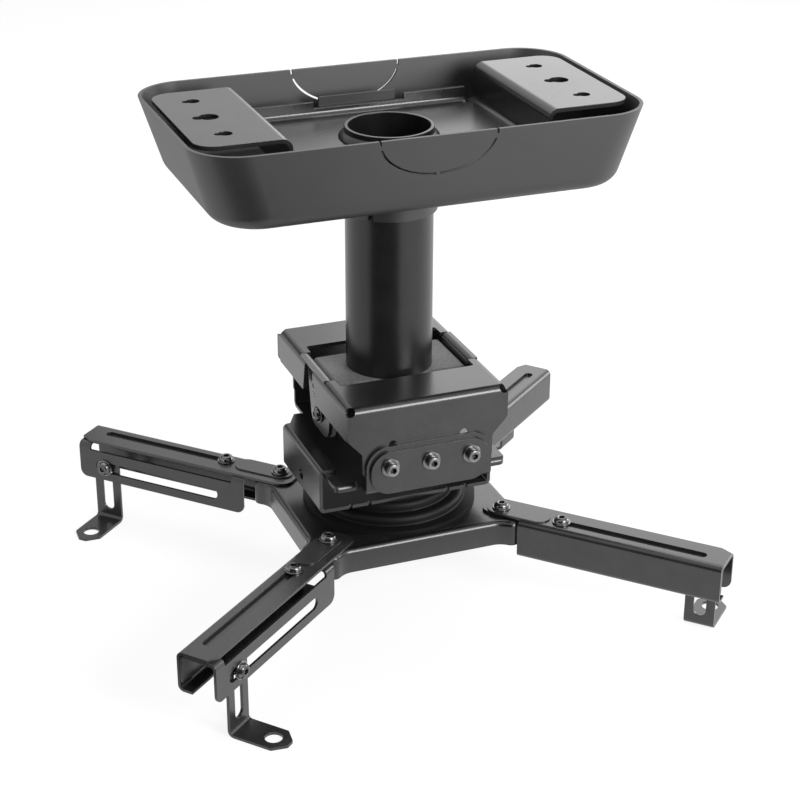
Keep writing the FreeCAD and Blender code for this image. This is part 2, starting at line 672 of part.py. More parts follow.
def pipe_foot():
    leg = [(FOOT_HALF_X, FOOT_BOTTOM), (FOOT_HALF_X, FOOT_TOP)]
    path = leg + [(-x, z) for x, z in leg[::-1]]
    strap = folded(path, FOOT_T, FOOT_BEND, "xz", -FOOT_HALF_Y, FOOT_HALF_Y)
    strap = strap.common(strap_outline(FOOT_BOTTOM))
    holes = [rod("yz", 0, z, M6_BUTTON[0] + SEAT_PLAY, -FAR, FAR) for z in (TILT_Z, TILT_LOCK_Z)]
    cable = rod("xy", 0, 0, FOOT_CABLE_R, -FAR, FAR)
    return cut_all(strap, holes + [cable])


def at_tilt_bolts(piece, x):
    """Copies of a fastener at the four tilt bolts, heads outwards, at a distance from the middle."""
    places = [(side, z) for side in (-1, 1) for z in (TILT_Z, TILT_LOCK_Z)]
    return [aimed(piece, V(side, 0, 0), V(side * x, 0, z)) for side, z in places]


def tilt_fasteners():
    under_washer = FLAP_OUT + FACE_GAP
    under_head = under_washer + M6_WASHER[1]
    nut_face = FOOT_HALF_X - FOOT_T
    length = under_head - nut_face + M6_NUT[1] + THREAD_SPARE
    hole = M6_BUTTON[0] + SEAT_PLAY
    return {
        "tilt_bolts": at_tilt_bolts(button_bolt(M6_BUTTON, length), under_head),
        "tilt_washers": at_tilt_bolts(washer(M6_WASHER, hole), under_washer),
        "tilt_nuts": at_tilt_bolts(nut(M6_NUT, hole), nut_face),
    }


# Hood

def hood_flap():
    """Flap folded down from the opening's right edge, with the tilt pivot's hole and the lock's slot."""
    path = [(FLAP_OUT + SHEET_BEND + SHEET, HOOD_TOP), (FLAP_IN, HOOD_TOP), (FLAP_IN, FLAP_BOTTOM)]
    flap = folded(path, SHEET, SHEET_BEND, "xz", -FOOT_HALF_Y, FOOT_HALF_Y)
    flap = flap.common(strap_outline(FLAP_BOTTOM))
    reach = TILT_RANGE + TILT_SLOT_SPARE
    play = M6_BUTTON[0] + SLOT_PLAY
    pivot = rod("yz", 0, TILT_Z, M6_BUTTON[0] + RUN_GAP, 0, FAR)
    lock = arc_slot("yz", (0, TILT_Z), TILT_LOCK_DROP, play, DOWNWARD - reach, DOWNWARD + reach, 0, FAR)
    return cut_all(flap, [pivot, lock])


def tongue_bottom(x):
    """Lowest level of the tongue at a distance from the middle, clear of the cradle at full roll."""
    room = CRADLE_DROP - SHEET_BEND - ROLL_CLEAR
    turn = math.radians(ROLL_RANGE)
    return ROLL_Z - (room - x * math.sin(turn)) / math.cos(turn)


def tongue_outline():
    """Front outline of the hood's end flanges: full width above, narrowing to the roll tongue below."""
    half = [
        (HOOD_HALF_X, HOOD_TOP + 1, 0),
        (HOOD_HALF_X, HOOD_SHOULDER, HOOD_SHOULDER_R),
        (TONGUE_HALF_X, TONGUE_SHOULDER, TONGUE_TAPER_R),
        (TONGUE_HALF_X, tongue_bottom(TONGUE_HALF_X), TONGUE_CORNER_R),
        (TONGUE_FLAT_HALF_X, tongue_bottom(TONGUE_FLAT_HALF_X), TONGUE_BOTTOM_R),
    ]
    loop = [(-x, z, r) for x, z, r in half] + half[::-1]
    return prism([(x, z) for x, z, _ in loop], "xz", -FAR, FAR, [r for _, _, r in loop])


def hood_ends():
    """Top with the long front and back flanges, without the strips that the side flanges are folded from."""
    flange = [(HOOD_HALF_Y, tongue_bottom(0)), (HOOD_HALF_Y, HOOD_TOP)]
    path = flange + [(-y, z) for y, z in flange[::-1]]
    sheet = folded(path, SHEET, SHEET_BEND, "yz", -HOOD_HALF_X, HOOD_HALF_X).common(tongue_outline())
    strip = block(HOOD_FLAT_X, FAR, -HOOD_SIDE_HALF_Y, HOOD_SIDE_HALF_Y, HOOD_TOP - HOOD_BEND, FAR)
    return cut_all(sheet, both(strip, V(1, 0, 0)))


def hood_sides():
    """Top strip with the short side flanges, each with its key notch and a chamfered back corner."""
    bottom = HOOD_SIDE_BOTTOM
    flange = [(HOOD_HALF_X, bottom), (HOOD_HALF_X, HOOD_TOP)]
    path = flange + [(-x, z) for x, z in flange[::-1]]
    sheet = folded(path, SHEET, SHEET_BEND, "xz", -HOOD_SIDE_HALF_Y, HOOD_SIDE_HALF_Y)
    end = block(-HOOD_FLAT_X, HOOD_FLAT_X, HOOD_HALF_Y - HOOD_BEND, FAR, -FAR, FAR)
    back = HOOD_SIDE_HALF_Y
    drop = HOOD_SIDE_CHAMFER
    corner = prism([(back - drop, bottom), (back, bottom), (back, bottom + drop)], "yz", -FAR, FAR)
    notch = [
        (-HOOD_NOTCH_FRONT - HOOD_NOTCH_FRONT_FLARE, bottom - 1),
        (HOOD_NOTCH_BACK + HOOD_NOTCH_BACK_FLARE, bottom - 1),
        (HOOD_NOTCH_BACK, HOOD_TOP - HOOD_BEND),
        (HOOD_NOTCH_BACK, HOOD_TOP + 1),
        (-HOOD_NOTCH_FRONT, HOOD_TOP + 1),
        (-HOOD_NOTCH_FRONT, HOOD_TOP - HOOD_BEND),
    ]
    notches = both(prism(notch, "yz", HOOD_FLAT_X, FAR), V(1, 0, 0))
    return cut_all(sheet, both(end, V(0, 1, 0)) + [corner] + notches)


def corner_relief(sx, sy):
    """Round hole where the folds of a corner meet, open along the corner's diagonal."""
    back = HOOD_BEND
    point = V(sx * (HOOD_HALF_X - back), sy * (HOOD_HALF_Y - back), HOOD_TOP - back)
    return Part.makeCylinder(HOOD_RELIEF_R, 4 * back, point, V(sx, sy, 1))


def hood():
    shell = hood_ends().fuse(hood_sides()).removeSplitter()
    low, high = HOOD_TOP - SHEET - 1, HOOD_TOP + 1
    opening = rect(-HOOD_OPEN_HALF_X, HOOD_OPEN_HALF_X, -HOOD_OPEN_HALF_Y, HOOD_OPEN_HALF_Y)
    window_x = FLAP_OUT + SHEET_BEND
    window_y = FOOT_HALF_Y + FLAP_RELIEF
    window = block(-window_x, window_x, -window_y, window_y, low, high)
    shell = shell.cut(prism(opening, "xy", low, high, HOOD_OPEN_CORNER)).cut(window)
    for flap in both(hood_flap(), V(1, 0, 0)):
        shell = shell.fuse(flap)
    shell = shell.removeSplitter()
    tools = [corner_relief(sx, sy) for sx in (-1, 1) for sy in (-1, 1)]
    tools.append(rod("xz", 0, ROLL_Z, M5_CAP[0] + RUN_GAP, -FAR, FAR))
    play = M5_CAP[0] + SLOT_PLAY
    down = ROLL_RANGE + ROLL_SLOT_SPARE
    for up, low, high in ((ROLL_RANGE + ROLL_SLOT_RISE, -FAR, 0), (down, 0, FAR)):
        run = arc_slot("xz", (0, ROLL_Z), ROLL_PITCH, play, -down, up, low, high)
        tools += both(run, V(1, 0, 0))
    return cut_all(shell, tools)


# Cradle with its clamp plates, and the channel hooked on it

def roll_holes():
    return [rod("xz", x, ROLL_Z, M5_CAP[0] + SEAT_PLAY, -FAR, FAR) for x in ROLL_XS]


def cradle():
    """Folded plate: a wide base with turned-down edges and an upright lug at the front and the back."""
    upright = [(-LUG_OUT, LUG_TOP), (-LUG_OUT, CRADLE_BOTTOM)]
    path = upright + [(-y, z) for y, z in upright[::-1]]
    lugs = folded(path, SHEET, SHEET_BEND, "yz", -LUG_HALF_X, LUG_HALF_X)
    outline = rect(-LUG_HALF_X, LUG_HALF_X, CRADLE_BOTTOM - 1, LUG_TOP)
    lugs = lugs.common(prism(outline, "xz", -FAR, FAR, [0, 0, LUG_CORNER, LUG_CORNER]))
    edge = [(CRADLE_HALF_Y, CRADLE_TOP - CRADLE_LIP), (CRADLE_HALF_Y, CRADLE_TOP)]
    path = edge + [(-y, z) for y, z in edge[::-1]]
    base = folded(path, SHEET, CRADLE_LIP_BEND, "yz", CRADLE_LEFT, CRADLE_RIGHT)
    plan = [
        (CRADLE_LEFT, -CRADLE_HALF_Y),
        (CRADLE_RIGHT, -CRADLE_HALF_Y),
        (CRADLE_RIGHT, CRADLE_HALF_Y),
        (CRADLE_LEFT + CRADLE_CUT_X, CRADLE_HALF_Y),
        (CRADLE_LEFT, CRADLE_HALF_Y - CRADLE_CUT_Y),
    ]
    base = base.common(prism(plan, "xy", -FAR, FAR, CRADLE_CORNER))
    between = LUG_HALF_X + LUG_RELIEF
    gap = block(-between, between, CRADLE_HALF_Y - SHEET - CRADLE_LIP_BEND, FAR, -FAR, FAR)
    base = cut_all(base, both(gap, V(0, 1, 0)))
    low, high = CRADLE_BOTTOM - 1, CRADLE_TOP + 1
    tools = [rod("xy", QUICK_X, y, M6_BUTTON[0] + SEAT_PLAY, low, high) for y in (-QUICK_Y, QUICK_Y)]
    return cut_all(lugs.fuse(base).removeSplitter(), tools + roll_holes())


def clamp_plate():
    """Oblong plate that spreads the front roll bolts on the lug."""
    outline = rect(-CLAMP_HALF_X, CLAMP_HALF_X, ROLL_Z - CLAMP_DROP, ROLL_Z + CLAMP_RISE)
    plate = prism(outline, "xz", -CLAMP_OUT, -LUG_OUT, CLAMP_CORNER)
    return cut_all(plate, roll_holes())


def at_roll_bolts(piece, y):
    return [aimed(piece, V(0, side, 0), V(x, side * y, ROLL_Z)) for side in (-1, 1) for x in ROLL_XS]


def roll_fasteners():
    under_head = CLAMP_OUT + M5_WASHER[1]
    nut_face = HOOD_HALF_Y - SHEET - FACE_GAP
    length = under_head - nut_face + M5_NUT[1] + THREAD_SPARE
    hole = M5_CAP[0] + SEAT_PLAY
    return {
        "roll_bolts": at_roll_bolts(cap_bolt(M5_CAP, length), under_head),
        "roll_washers": at_roll_bolts(washer(M5_WASHER, hole), CLAMP_OUT),
        "roll_nuts": at_roll_bolts(nut(M5_NUT, hole), nut_face),
    }


def channel():
    """C-shaped carrier: its left lip hooks over the cradle, its right ledge is screwed under the cradle."""
    path = [
        (CHANNEL_LEFT + CHANNEL_LIP, CHANNEL_TOP),
        (CHANNEL_LEFT, CHANNEL_TOP),
        (CHANNEL_LEFT, CHANNEL_BOTTOM),
        (CHANNEL_RIGHT, CHANNEL_BOTTOM),
        (CHANNEL_RIGHT, CRADLE_BOTTOM),
        (CHANNEL_RIGHT - CHANNEL_LEDGE, CRADLE_BOTTOM),
    ]
    body = folded(path, SHEET, CHANNEL_BEND, "xz", -CHANNEL_HALF_Y, CHANNEL_HALF_Y)
    base_top = CHANNEL_BOTTOM + SHEET
    body = body.fuse(rod("xy", 0, 0, BOSS_R, base_top - SHEET / 2, base_top + BOSS_H)).removeSplitter()
    tools = [
        rod("xy", 0, 0, BOSS_R - SHEET, CHANNEL_BOTTOM - 1, CHANNEL_BOTTOM + BOSS_H),
        rod("xy", 0, 0, M10_LOW[0] + RUN_GAP, CHANNEL_BOTTOM - 1, base_top + BOSS_H + 1),
        rod("yz", 0, CHANNEL_BOTTOM + CHANNEL_LOCK_H, CHANNEL_LOCK_R, -FAR, 0),
    ]
    for x in (-CHANNEL_NOTCH_X, CHANNEL_NOTCH_X):
        for step in (-CHANNEL_NOTCH_STEP, CHANNEL_NOTCH_STEP):
            left = x + step - CHANNEL_NOTCH_W / 2
            right = left + CHANNEL_NOTCH_W
            inner = -CHANNEL_HALF_Y + CHANNEL_NOTCH_D
            notch = block(left, right, -FAR, inner, CHANNEL_BOTTOM - 1, base_top + 1)
            tools += both(notch, V(0, 1, 0))
    for y in (-QUICK_Y, QUICK_Y):
        tools.append(rod("xy", QUICK_X, y, M6_BUTTON[0] + SEAT_PLAY, base_top + 1, FAR))
    return cut_all(body, tools)


def quick_release_screws():
    screw = button_bolt(M6_BUTTON, 2 * SHEET + M6_NUT[1])
    return [aimed(screw, V(0, 0, 1), V(QUICK_X, y, CRADLE_TOP)) for y in (-QUICK_Y, QUICK_Y)]


# Spider, swivel disc and bolt

def spider_outline(inset):
    """Plan of the spider: straight edges between four short diagonal legs, drawn smaller by an inset."""
    ex = PIVOT_X / PIVOT_REACH
    ey = PIVOT_Y / PIVOT_REACH
    half_x, half_y, half_w = SPIDER_HALF_X - inset, SPIDER_HALF_Y - inset, LEG_HALF_W - inset
    tip = PIVOT_REACH + LEG_TIP - inset
    root_x = (half_x - half_w * ey) / ex
    root_y = (half_y - half_w * ex) / ey
    concave = SPIDER_CONCAVE_R + inset
    convex = max(LEG_TIP_R - inset, 0.5)
    quarter = [
        (half_x, root_x * ey - half_w * ex, concave),
        (tip * ex + half_w * ey, tip * ey - half_w * ex, convex),
        (tip * ex - half_w * ey, tip * ey + half_w * ex, convex),
        (root_y * ex - half_w * ey, half_y, concave),
    ]
    loop = list(quarter)
    loop += [(-x, y, r) for x, y, r in quarter[::-1]]
    loop += [(-x, -y, r) for x, y, r in quarter]
    loop += [(x, -y, r) for x, y, r in quarter[::-1]]
    return [(x, y) for x, y, _ in loop], [r for _, _, r in loop]


def spider():
    """Pressed plate with a skirt folded down along its edges; the four leg ends are open in the middle."""
    points, radii = spider_outline(0)
    skirt_bottom = SPIDER_TOP - SPIDER_SKIRT
    body = prism(points, "xy", skirt_bottom, SPIDER_TOP, radii)
    rim = [e for e in body.Edges if min(v.Z for v in e.Vertexes) > SPIDER_TOP - TOUCH]
    body = body.makeFillet(SPIDER_BEND, rim)
    points, radii = spider_outline(SHEET)
    body = body.cut(prism(points, "xy", skirt_bottom - 1, SPIDER_BOTTOM, radii))
    tools = [rod("xy", 0, 0, M10_LOW[0] + SEAT_PLAY, -FAR, FAR)]
    for sx, sy, _, _ in ARMS.values():
        x, y = sx * PIVOT_X, sy * PIVOT_Y
        tools.append(rod("xy", x, y, M6_BUTTON[0] + SEAT_PLAY, -FAR, FAR))
        half = LEG_MOUTH_HALF_W
        mouth = block(LEG_TIP - LEG_TIP_R, FAR, -half, half, skirt_bottom - 1, SPIDER_BOTTOM)
        mouth.rotate(V(0, 0, 0), V(0, 0, 1), math.degrees(math.atan2(y, x)))
        mouth.translate(V(x, y, 0))
        tools.append(mouth)
    return cut_all(body, tools)


def swivel_disc():
    """Pressed disc in rising steps, seated on the spider, on which the channel turns."""
    top = CHANNEL_BOTTOM - FACE_GAP
    flange = SPIDER_TOP + SHEET
    step = SPIDER_TOP + DISC_STEP_H
    path = [
        (DISC_FLANGE_R, flange),
        (DISC_STEP_R, flange),
        (DISC_STEP_R, step),
        (DISC_TOP_R, step),
        (DISC_TOP_R, top),
        (M10_LOW[0] + SEAT_PLAY, top),
    ]
    points, radii = folded_outline(path, SHEET, DISC_BEND)
    face = Part.Face(rounded_wire(points, radii))
    face.Placement = FreeCAD.Placement(V(0, 0, 0), PLANES["xz"][0])
    return face.revolve(V(0, 0, 0), V(0, 0, 1), 360)


def swivel_fasteners():
    washer_z = CHANNEL_BOTTOM + SHEET + BOSS_H + FACE_GAP
    under_head = washer_z + M10_WASHER[1]
    length = under_head - SPIDER_BOTTOM + M10_NUT[1] + THREAD_SPARE
    hole = M10_LOW[0] + SEAT_PLAY
    up = V(0, 0, 1)
    return {
        "swivel_bolt": [aimed(cap_bolt(M10_LOW, length), up, V(0, 0, under_head))],
        "swivel_washer": [aimed(washer(M10_WASHER, hole), up, V(0, 0, washer_z))],
        "swivel_nut": [aimed(nut(M10_NUT, hole), up, V(0, 0, SPIDER_BOTTOM))],
    }


def arm_pivot_fasteners():
    washer_z = ARM_TOP + PAD_H + FACE_GAP
    under_head = washer_z + M6_WASHER[1]
    length = under_head - SPIDER_BOTTOM + M6_NUT[1] + THREAD_SPARE
    hole = M6_BUTTON[0] + SEAT_PLAY
    spots = [V(sx * PIVOT_X, sy * PIVOT_Y, 0) for sx, sy, _, _ in ARMS.values()]
    up = V(0, 0, 1)
    return {
        "arm_pivot_bolts": [aimed(button_bolt(M6_BUTTON, length), up, s + up * under_head) for s in spots],
        "arm_pivot_washers": [aimed(washer(M6_WASHER, hole), up, s + up * washer_z) for s in spots],
        "arm_pivot_nuts": [aimed(nut(M6_NUT, hole), up, s + up * SPIDER_BOTTOM) for s in spots],
    }


# Arms, drawn along their own u axis

def oblong(start, end, half_width, low, high):
    """Flat body with round ends along u."""
    return slot("xy", (start + half_width, 0), (end - half_width, 0), half_width, low, high)


def outer_arm():
    """Web with a long slot, one wall and its bottom lip; a raised pad carries the pivot bolt."""
    path = [
        (ARM_EDGE_V, ARM_TOP),
        (ARM_WALL_V, ARM_TOP),
        (ARM_WALL_V, ARM_BOTTOM),
        (ARM_WALL_V + ARM_LIP, ARM_BOTTOM),
    ]
    beam = folded(path, ARM_T, ARM_BEND, "yz", ARM_WALL_START, ARM_END)
    under = ARM_TOP - ARM_T
    inner_end = rect(ARM_INNER, ARM_WALL_START + 1, ARM_WALL_V + ARM_BEND + ARM_T, ARM_EDGE_V)
    web = prism(inner_end, "xy", under, ARM_TOP, [ARM_INNER_R, 0, 0, ARM_INNER_R])
    pad = oblong(PAD_START, PAD_END, PAD_HALF_W, ARM_TOP - ARM_T / 2, ARM_TOP + PAD_H)
    inset = PAD_HALF_W - PAD_INSET
    hollow = oblong(PAD_START + PAD_INSET, PAD_END - PAD_INSET, inset, under - 1, under + PAD_H)
    body = beam.fuse(web).fuse(pad).removeSplitter()
    corner = [
        (ARM_END - ARM_CHAMFER_U, ARM_EDGE_V),
        (ARM_END, ARM_EDGE_V - ARM_CHAMFER_V),
        (ARM_END, ARM_EDGE_V),
    ]
    tools = [
        hollow,
        prism(corner, "xy", under - 1, ARM_TOP + 1),
        rod("xy", 0, 0, M6_BUTTON[0] + RUN_GAP, -FAR, FAR),
        slot("xy", (ARM_SLOT_START, 0), (ARM_SLOT_END, 0), M6_BUTTON[0] + SLOT_PLAY, under - 1, ARM_TOP + 1),
    ]
    return cut_all(body, tools)


def arm_slide():
    """Inner slide: web under the arm's web, a short wall, and a windowed side plate held by two bent tabs."""
    path = [
        (SIDE_PLATE_V, SIDE_PLATE_BOTTOM),
        (SIDE_PLATE_V, SLIDE_TOP),
        (SLIDE_WALL_V, SLIDE_TOP),
        (SLIDE_WALL_V, SLIDE_WALL_BOTTOM),
    ]
    body = folded(path, ARM_T, ARM_BEND, "yz", SLIDE_START, ARM_END)
    outline = rect(SLIDE_START, ARM_END, SIDE_PLATE_BOTTOM, SLIDE_TOP)
    body = body.common(prism(outline, "xz", -FAR, FAR, [SIDE_PLATE_CORNER, SIDE_PLATE_CORNER, 0, 0]))
    insert = rod("xy", ARM_SLOT_START, 0, INSERT_R, SLIDE_TOP - ARM_T - INSERT_H, SLIDE_TOP - ARM_T / 2)
    body = body.fuse(insert).removeSplitter()
    window_ends = (WINDOW_START, WINDOW_Z), (WINDOW_END, WINDOW_Z)
    tools = [
        block(SLIDE_START + SIDE_TAB, ARM_END - SIDE_TAB, SIDE_GAP_V, FAR, SIDE_PLATE_TOP, FAR),
        slot("xz", *window_ends, M6_BUTTON[0] + WINDOW_PLAY, SIDE_GAP_V, FAR),
        rod("xy", ARM_SLOT_START, 0, M6_BUTTON[0] + SEAT_PLAY, -FAR, FAR),
    ]
    return cut_all(body, tools)


def slide_bolt():
    under_head = ARM_TOP + FACE_GAP + M6_WASHER[1]
    length = under_head - SLIDE_TOP + ARM_T + INSERT_H + THREAD_SPARE
    return aimed(button_bolt(M6_BUTTON, length), V(0, 0, 1), V(ARM_SLOT_START, 0, under_head))


def slide_washer():
    ring = washer(M6_WASHER, M6_BUTTON[0] + SEAT_PLAY)
    return aimed(ring, V(0, 0, 1), V(ARM_SLOT_START, 0, ARM_TOP + FACE_GAP))


def projector_foot():
    """L-shaped foot at u = 0: slotted leg behind the side plate, base with a screw hole turned outwards."""
    path = [(LEG_INNER_V, LEG_TOP), (LEG_INNER_V, BASE_BOTTOM), (BASE_TIP_V, BASE_BOTTOM)]
    body = folded(path, LEG_T, LEG_BEND, "yz", -LEG_HALF_U, LEG_HALF_U)
    half = [
        (LEG_HALF_U, LEG_INNER_V - 1),
        (LEG_HALF_U, BASE_TIP_V - BASE_CHAMFER),
        (LEG_HALF_U - BASE_CHAMFER, BASE_TIP_V),
    ]
    plan = half + [(-u, v) for u, v in half[::-1]]
    rounds = [0] + [BASE_ROUND] * 4 + [0]
    body = body.common(prism(plan, "xy", BASE_BOTTOM - 1, LEG_TOP + 1, rounds))
    tools = [
        rod("xy", 0, BASE_HOLE_V, BASE_HOLE_R, BASE_BOTTOM - 1, BASE_BOTTOM + LEG_T + 1),
        slot("xz", (0, WINDOW_Z), (0, BASE_BOTTOM + LEG_SLOT_UP), LEG_SLOT_HALF_W, 0, LEG_OUTER_V + 1),
    ]
    return cut_all(body, tools)


def foot_fasteners():
    """Bolt, washer and nut that clamp a foot at u = 0 to the side plate."""
    under_washer = SIDE_PLATE_V + FACE_GAP
    under_head = under_washer + M6_WASHER[1]
    nut_face = LEG_INNER_V - FACE_GAP
    length = under_head - nut_face + M6_NUT[1] + THREAD_SPARE
    hole = M6_BUTTON[0] + SEAT_PLAY
    out = V(0, 1, 0)
    return {
        "foot_bolt": aimed(button_bolt(M6_BUTTON, length), out, V(0, under_head, WINDOW_Z)),
        "foot_washer": aimed(washer(M6_WASHER, hole), out, V(0, under_washer, WINDOW_Z)),
        "foot_nut": aimed(nut(M6_NUT, hole), out, V(0, nut_face, WINDOW_Z)),
    }


def arm_pieces():
    """Pieces of one arm, and those of its foot, each with its own zero of u."""
    arm = {
        "outer_arm": outer_arm(),
        "arm_slide": arm_slide(),
        "slide_bolt": slide_bolt(),
        "slide_washer": slide_washer(),
    }
    foot = {"projector_foot": projector_foot()}
    foot.update(foot_fasteners())
    return arm, foot


def at_corner(shape, corner, u):
    """A piece of an arm moved out along u, turned to the arm's angle and moved to its spider corner."""
    sx, sy, angle, _ = ARMS[corner]
    placed = shape.copy()
    placed.translate(V(u, 0, 0))
    placed.rotate(V(0, 0, 0), V(0, 0, 1), angle)
    placed.translate(V(sx * PIVOT_X, sy * PIVOT_Y, 0))
    return placed


def build():
    """All nodes by name; a node of like fasteners is a list of solids."""
    front_clamp = clamp_plate()
    nodes = {
        "ceiling_plate": ceiling_plate(),
        "drop_pipe": drop_pipe(),
        "ceiling_cover": ceiling_cover(),
        "cover_lock_ring": cover_lock_ring(),
        "lock_ring_screw": lock_ring_screw(),
        "pipe_foot": pipe_foot(),
        "hood": hood(),
        "cradle": cradle(),
        "clamp_plate_front": front_clamp,
        "clamp_plate_back": mirrored(front_clamp, V(0, 1, 0)),
        "channel": channel(),
        "quick_release_screws": quick_release_screws(),
        "spider": spider(),
        "swivel_disc": swivel_disc(),
    }
    for group in (tilt_fasteners(), roll_fasteners(), swivel_fasteners(), arm_pivot_fasteners()):
        nodes.update(group)
    arm, foot = arm_pieces()
    for corner, (_, _, _, foot_u) in ARMS.items():
        for name, shape in arm.items():
            nodes[f"{name}_{corner}"] = at_corner(shape, corner, 0)
        for name, shape in foot.items():
            nodes[f"{name}_{corner}"] = at_corner(shape, corner, foot_u)
    return nodes


def main():
    os.makedirs("parts", exist_ok=True)
    for name, shape in build().items():
        if isinstance(shape, list):
            shape = Part.makeCompound(shape) if len(shape) > 1 else shape[0]
        faults = "" if shape.isValid() else "  NOT VALID"
        print(f"{name}: {len(shape.Solids)} solid(s), {shape.Volume:.0f} mm3{faults}")
        shape.exportStep(f"parts/{name}.step")


main()
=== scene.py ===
# %% [markdown]
# # A projector ceiling mount, dressed
#
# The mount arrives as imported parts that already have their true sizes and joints. This lesson gives
# those parts their looks: rounded sheet edges, smooth tubes, real screws and seven finishes. Nothing
# here moves a part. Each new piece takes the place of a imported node, or lies on one, and rides on the
# same body.

# %% Load the frame
import json
import math

import bmesh
import bpy
import numpy as np
from mathutils import Matrix, Vector


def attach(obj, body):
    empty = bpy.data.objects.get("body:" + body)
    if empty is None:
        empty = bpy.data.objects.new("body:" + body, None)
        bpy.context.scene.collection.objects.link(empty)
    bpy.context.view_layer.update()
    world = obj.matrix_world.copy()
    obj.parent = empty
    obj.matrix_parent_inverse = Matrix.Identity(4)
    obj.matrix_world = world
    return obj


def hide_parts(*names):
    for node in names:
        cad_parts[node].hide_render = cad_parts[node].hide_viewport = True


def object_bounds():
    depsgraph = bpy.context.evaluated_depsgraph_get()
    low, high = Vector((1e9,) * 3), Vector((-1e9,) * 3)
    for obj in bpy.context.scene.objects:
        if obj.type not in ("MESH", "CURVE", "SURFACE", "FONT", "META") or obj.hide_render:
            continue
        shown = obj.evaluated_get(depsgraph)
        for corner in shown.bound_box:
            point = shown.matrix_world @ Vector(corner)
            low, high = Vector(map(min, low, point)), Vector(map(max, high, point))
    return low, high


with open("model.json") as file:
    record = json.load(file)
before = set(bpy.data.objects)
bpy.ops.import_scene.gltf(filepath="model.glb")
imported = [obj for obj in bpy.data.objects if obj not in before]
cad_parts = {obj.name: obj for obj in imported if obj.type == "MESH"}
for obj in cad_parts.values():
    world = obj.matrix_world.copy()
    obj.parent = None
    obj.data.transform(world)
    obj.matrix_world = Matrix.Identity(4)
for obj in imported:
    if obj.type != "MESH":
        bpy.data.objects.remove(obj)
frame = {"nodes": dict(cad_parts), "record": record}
cad_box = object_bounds()
record = frame["record"]
body_of_node = {node: body for body, members in record["behaviour"]["bodies"].items() for node in members}
slot_of_node = {part["node"]: part["material_slot"] for part in record["subparts"]}
MM = 0.001


def linked(name, data):
    """New object of the given data, in the scene."""
    thing = bpy.data.objects.new(name, data)
    bpy.context.scene.collection.objects.link(thing)
    return thing


print("box in metres:", [[round(c, 4) for c in corner] for corner in cad_box])

# %% [markdown]
# ## Camera
#
# The photograph is a product shot: a long lens, above the ceiling plate and to the left of the mount. A
# camera needs only a place, a point to look at and a lens. The roll is a quarter of a degree, because
# the upright pipe leans by that much in the photograph.

# %% Camera
CAMERA_PLACE = Vector((-0.4370, -1.1393, 0.3551))
CAMERA_TARGET = Vector((0.0073, -0.0029, -0.2203))
CAMERA_ROLL = math.radians(0.24)
LENS_MM = 85.7
SENSOR_MM = 36.0
NEAREST = 0.05

camera = linked("camera", bpy.data.cameras.new("camera"))
camera.data.lens = LENS_MM
camera.data.sensor_width = SENSOR_MM
camera.data.clip_start = NEAREST
facing = (CAMERA_TARGET - CAMERA_PLACE).to_track_quat("-Z", "Y").to_matrix().to_4x4()
camera.matrix_world = Matrix.Translation(CAMERA_PLACE) @ facing @ Matrix.Rotation(CAMERA_ROLL, 4, "Z")
bpy.context.scene.camera = camera
print("camera stands", round((CAMERA_TARGET - CAMERA_PLACE).length, 3), "m from the mount")

# %% [markdown]
# ## Shared surface effects
#
# Nearly every part here is coated, so the parts share one look in several strengths: a fine orange-peel
# skin, a faint unevenness of tone, and edges that are rubbed a little brighter, which on the screws is
# also a painted highlight. It could be drawn into each material, but shared effects are easier to keep
# alike as node groups, built once. The groups put out only values that change over the surface. The
# shaders stay in the materials.

# %% Node group helpers
def new_group(name, inputs, outputs):
    """Empty shader group with float inputs (name, value) and outputs (name, socket type)."""
    group = bpy.data.node_groups.new(name, "ShaderNodeTree")
    for label, value in inputs:
        socket = group.interface.new_socket(label, in_out="INPUT", socket_type="NodeSocketFloat")
        socket.default_value = value
    for label, kind in outputs:
        group.interface.new_socket(label, in_out="OUTPUT", socket_type=kind)
    return group, group.nodes.new("NodeGroupInput"), group.nodes.new("NodeGroupOutput")


def math_node(tree, operation, first, second):
    """Math node whose two inputs are sockets or plain numbers; gives its output socket."""
    node = tree.nodes.new("ShaderNodeMath")
    node.operation = operation
    for socket, value in zip(node.inputs, (first, second)):
        if isinstance(value, (int, float)):
            socket.default_value = value
        else:
            tree.links.new(value, socket)
    return node.outputs[0]


def noise_node(tree, coordinates, scale, detail, roughness):
    """Noise texture on the given coordinates, its scale a socket; gives its value socket."""
    node = tree.nodes.new("ShaderNodeTexNoise")
    node.inputs["Detail"].default_value = detail
    node.inputs["Roughness"].default_value = roughness
    tree.links.new(coordinates, node.inputs["Vector"])
    tree.links.new(scale, node.inputs["Scale"])
    return node.outputs["Fac"]


# %% Coat skin group
GRAIN_SHARE = 0.4
PEEL_SHARE = 0.6
SLOW_DRIFT = 14.0


def make_coat_skin():
    """Height of a sprayed skin, and a slow drift of tone across it."""
    inputs = [("Grain per metre", 900.0), ("Peel per metre", 260.0), ("Drift per metre", SLOW_DRIFT)]
    outputs = [("Height", "NodeSocketFloat"), ("Drift", "NodeSocketFloat")]
    group, given, result = new_group("coat_skin", inputs, outputs)
    place = group.nodes.new("ShaderNodeTexCoord").outputs["Object"]
    grain = noise_node(group, place, given.outputs["Grain per metre"], 3.0, 0.6)
    peel = noise_node(group, place, given.outputs["Peel per metre"], 1.0, 0.4)
    drift = noise_node(group, place, given.outputs["Drift per metre"], 2.0, 0.5)
    fine = math_node(group, "MULTIPLY", grain, GRAIN_SHARE)
    coarse = math_node(group, "MULTIPLY", peel, PEEL_SHARE)
    height = math_node(group, "ADD", fine, coarse)
    group.links.new(height, result.inputs["Height"])
    group.links.new(drift, result.inputs["Drift"])
    return group


coat_skin = make_coat_skin()
print("coat skin:", len(coat_skin.nodes), "nodes")
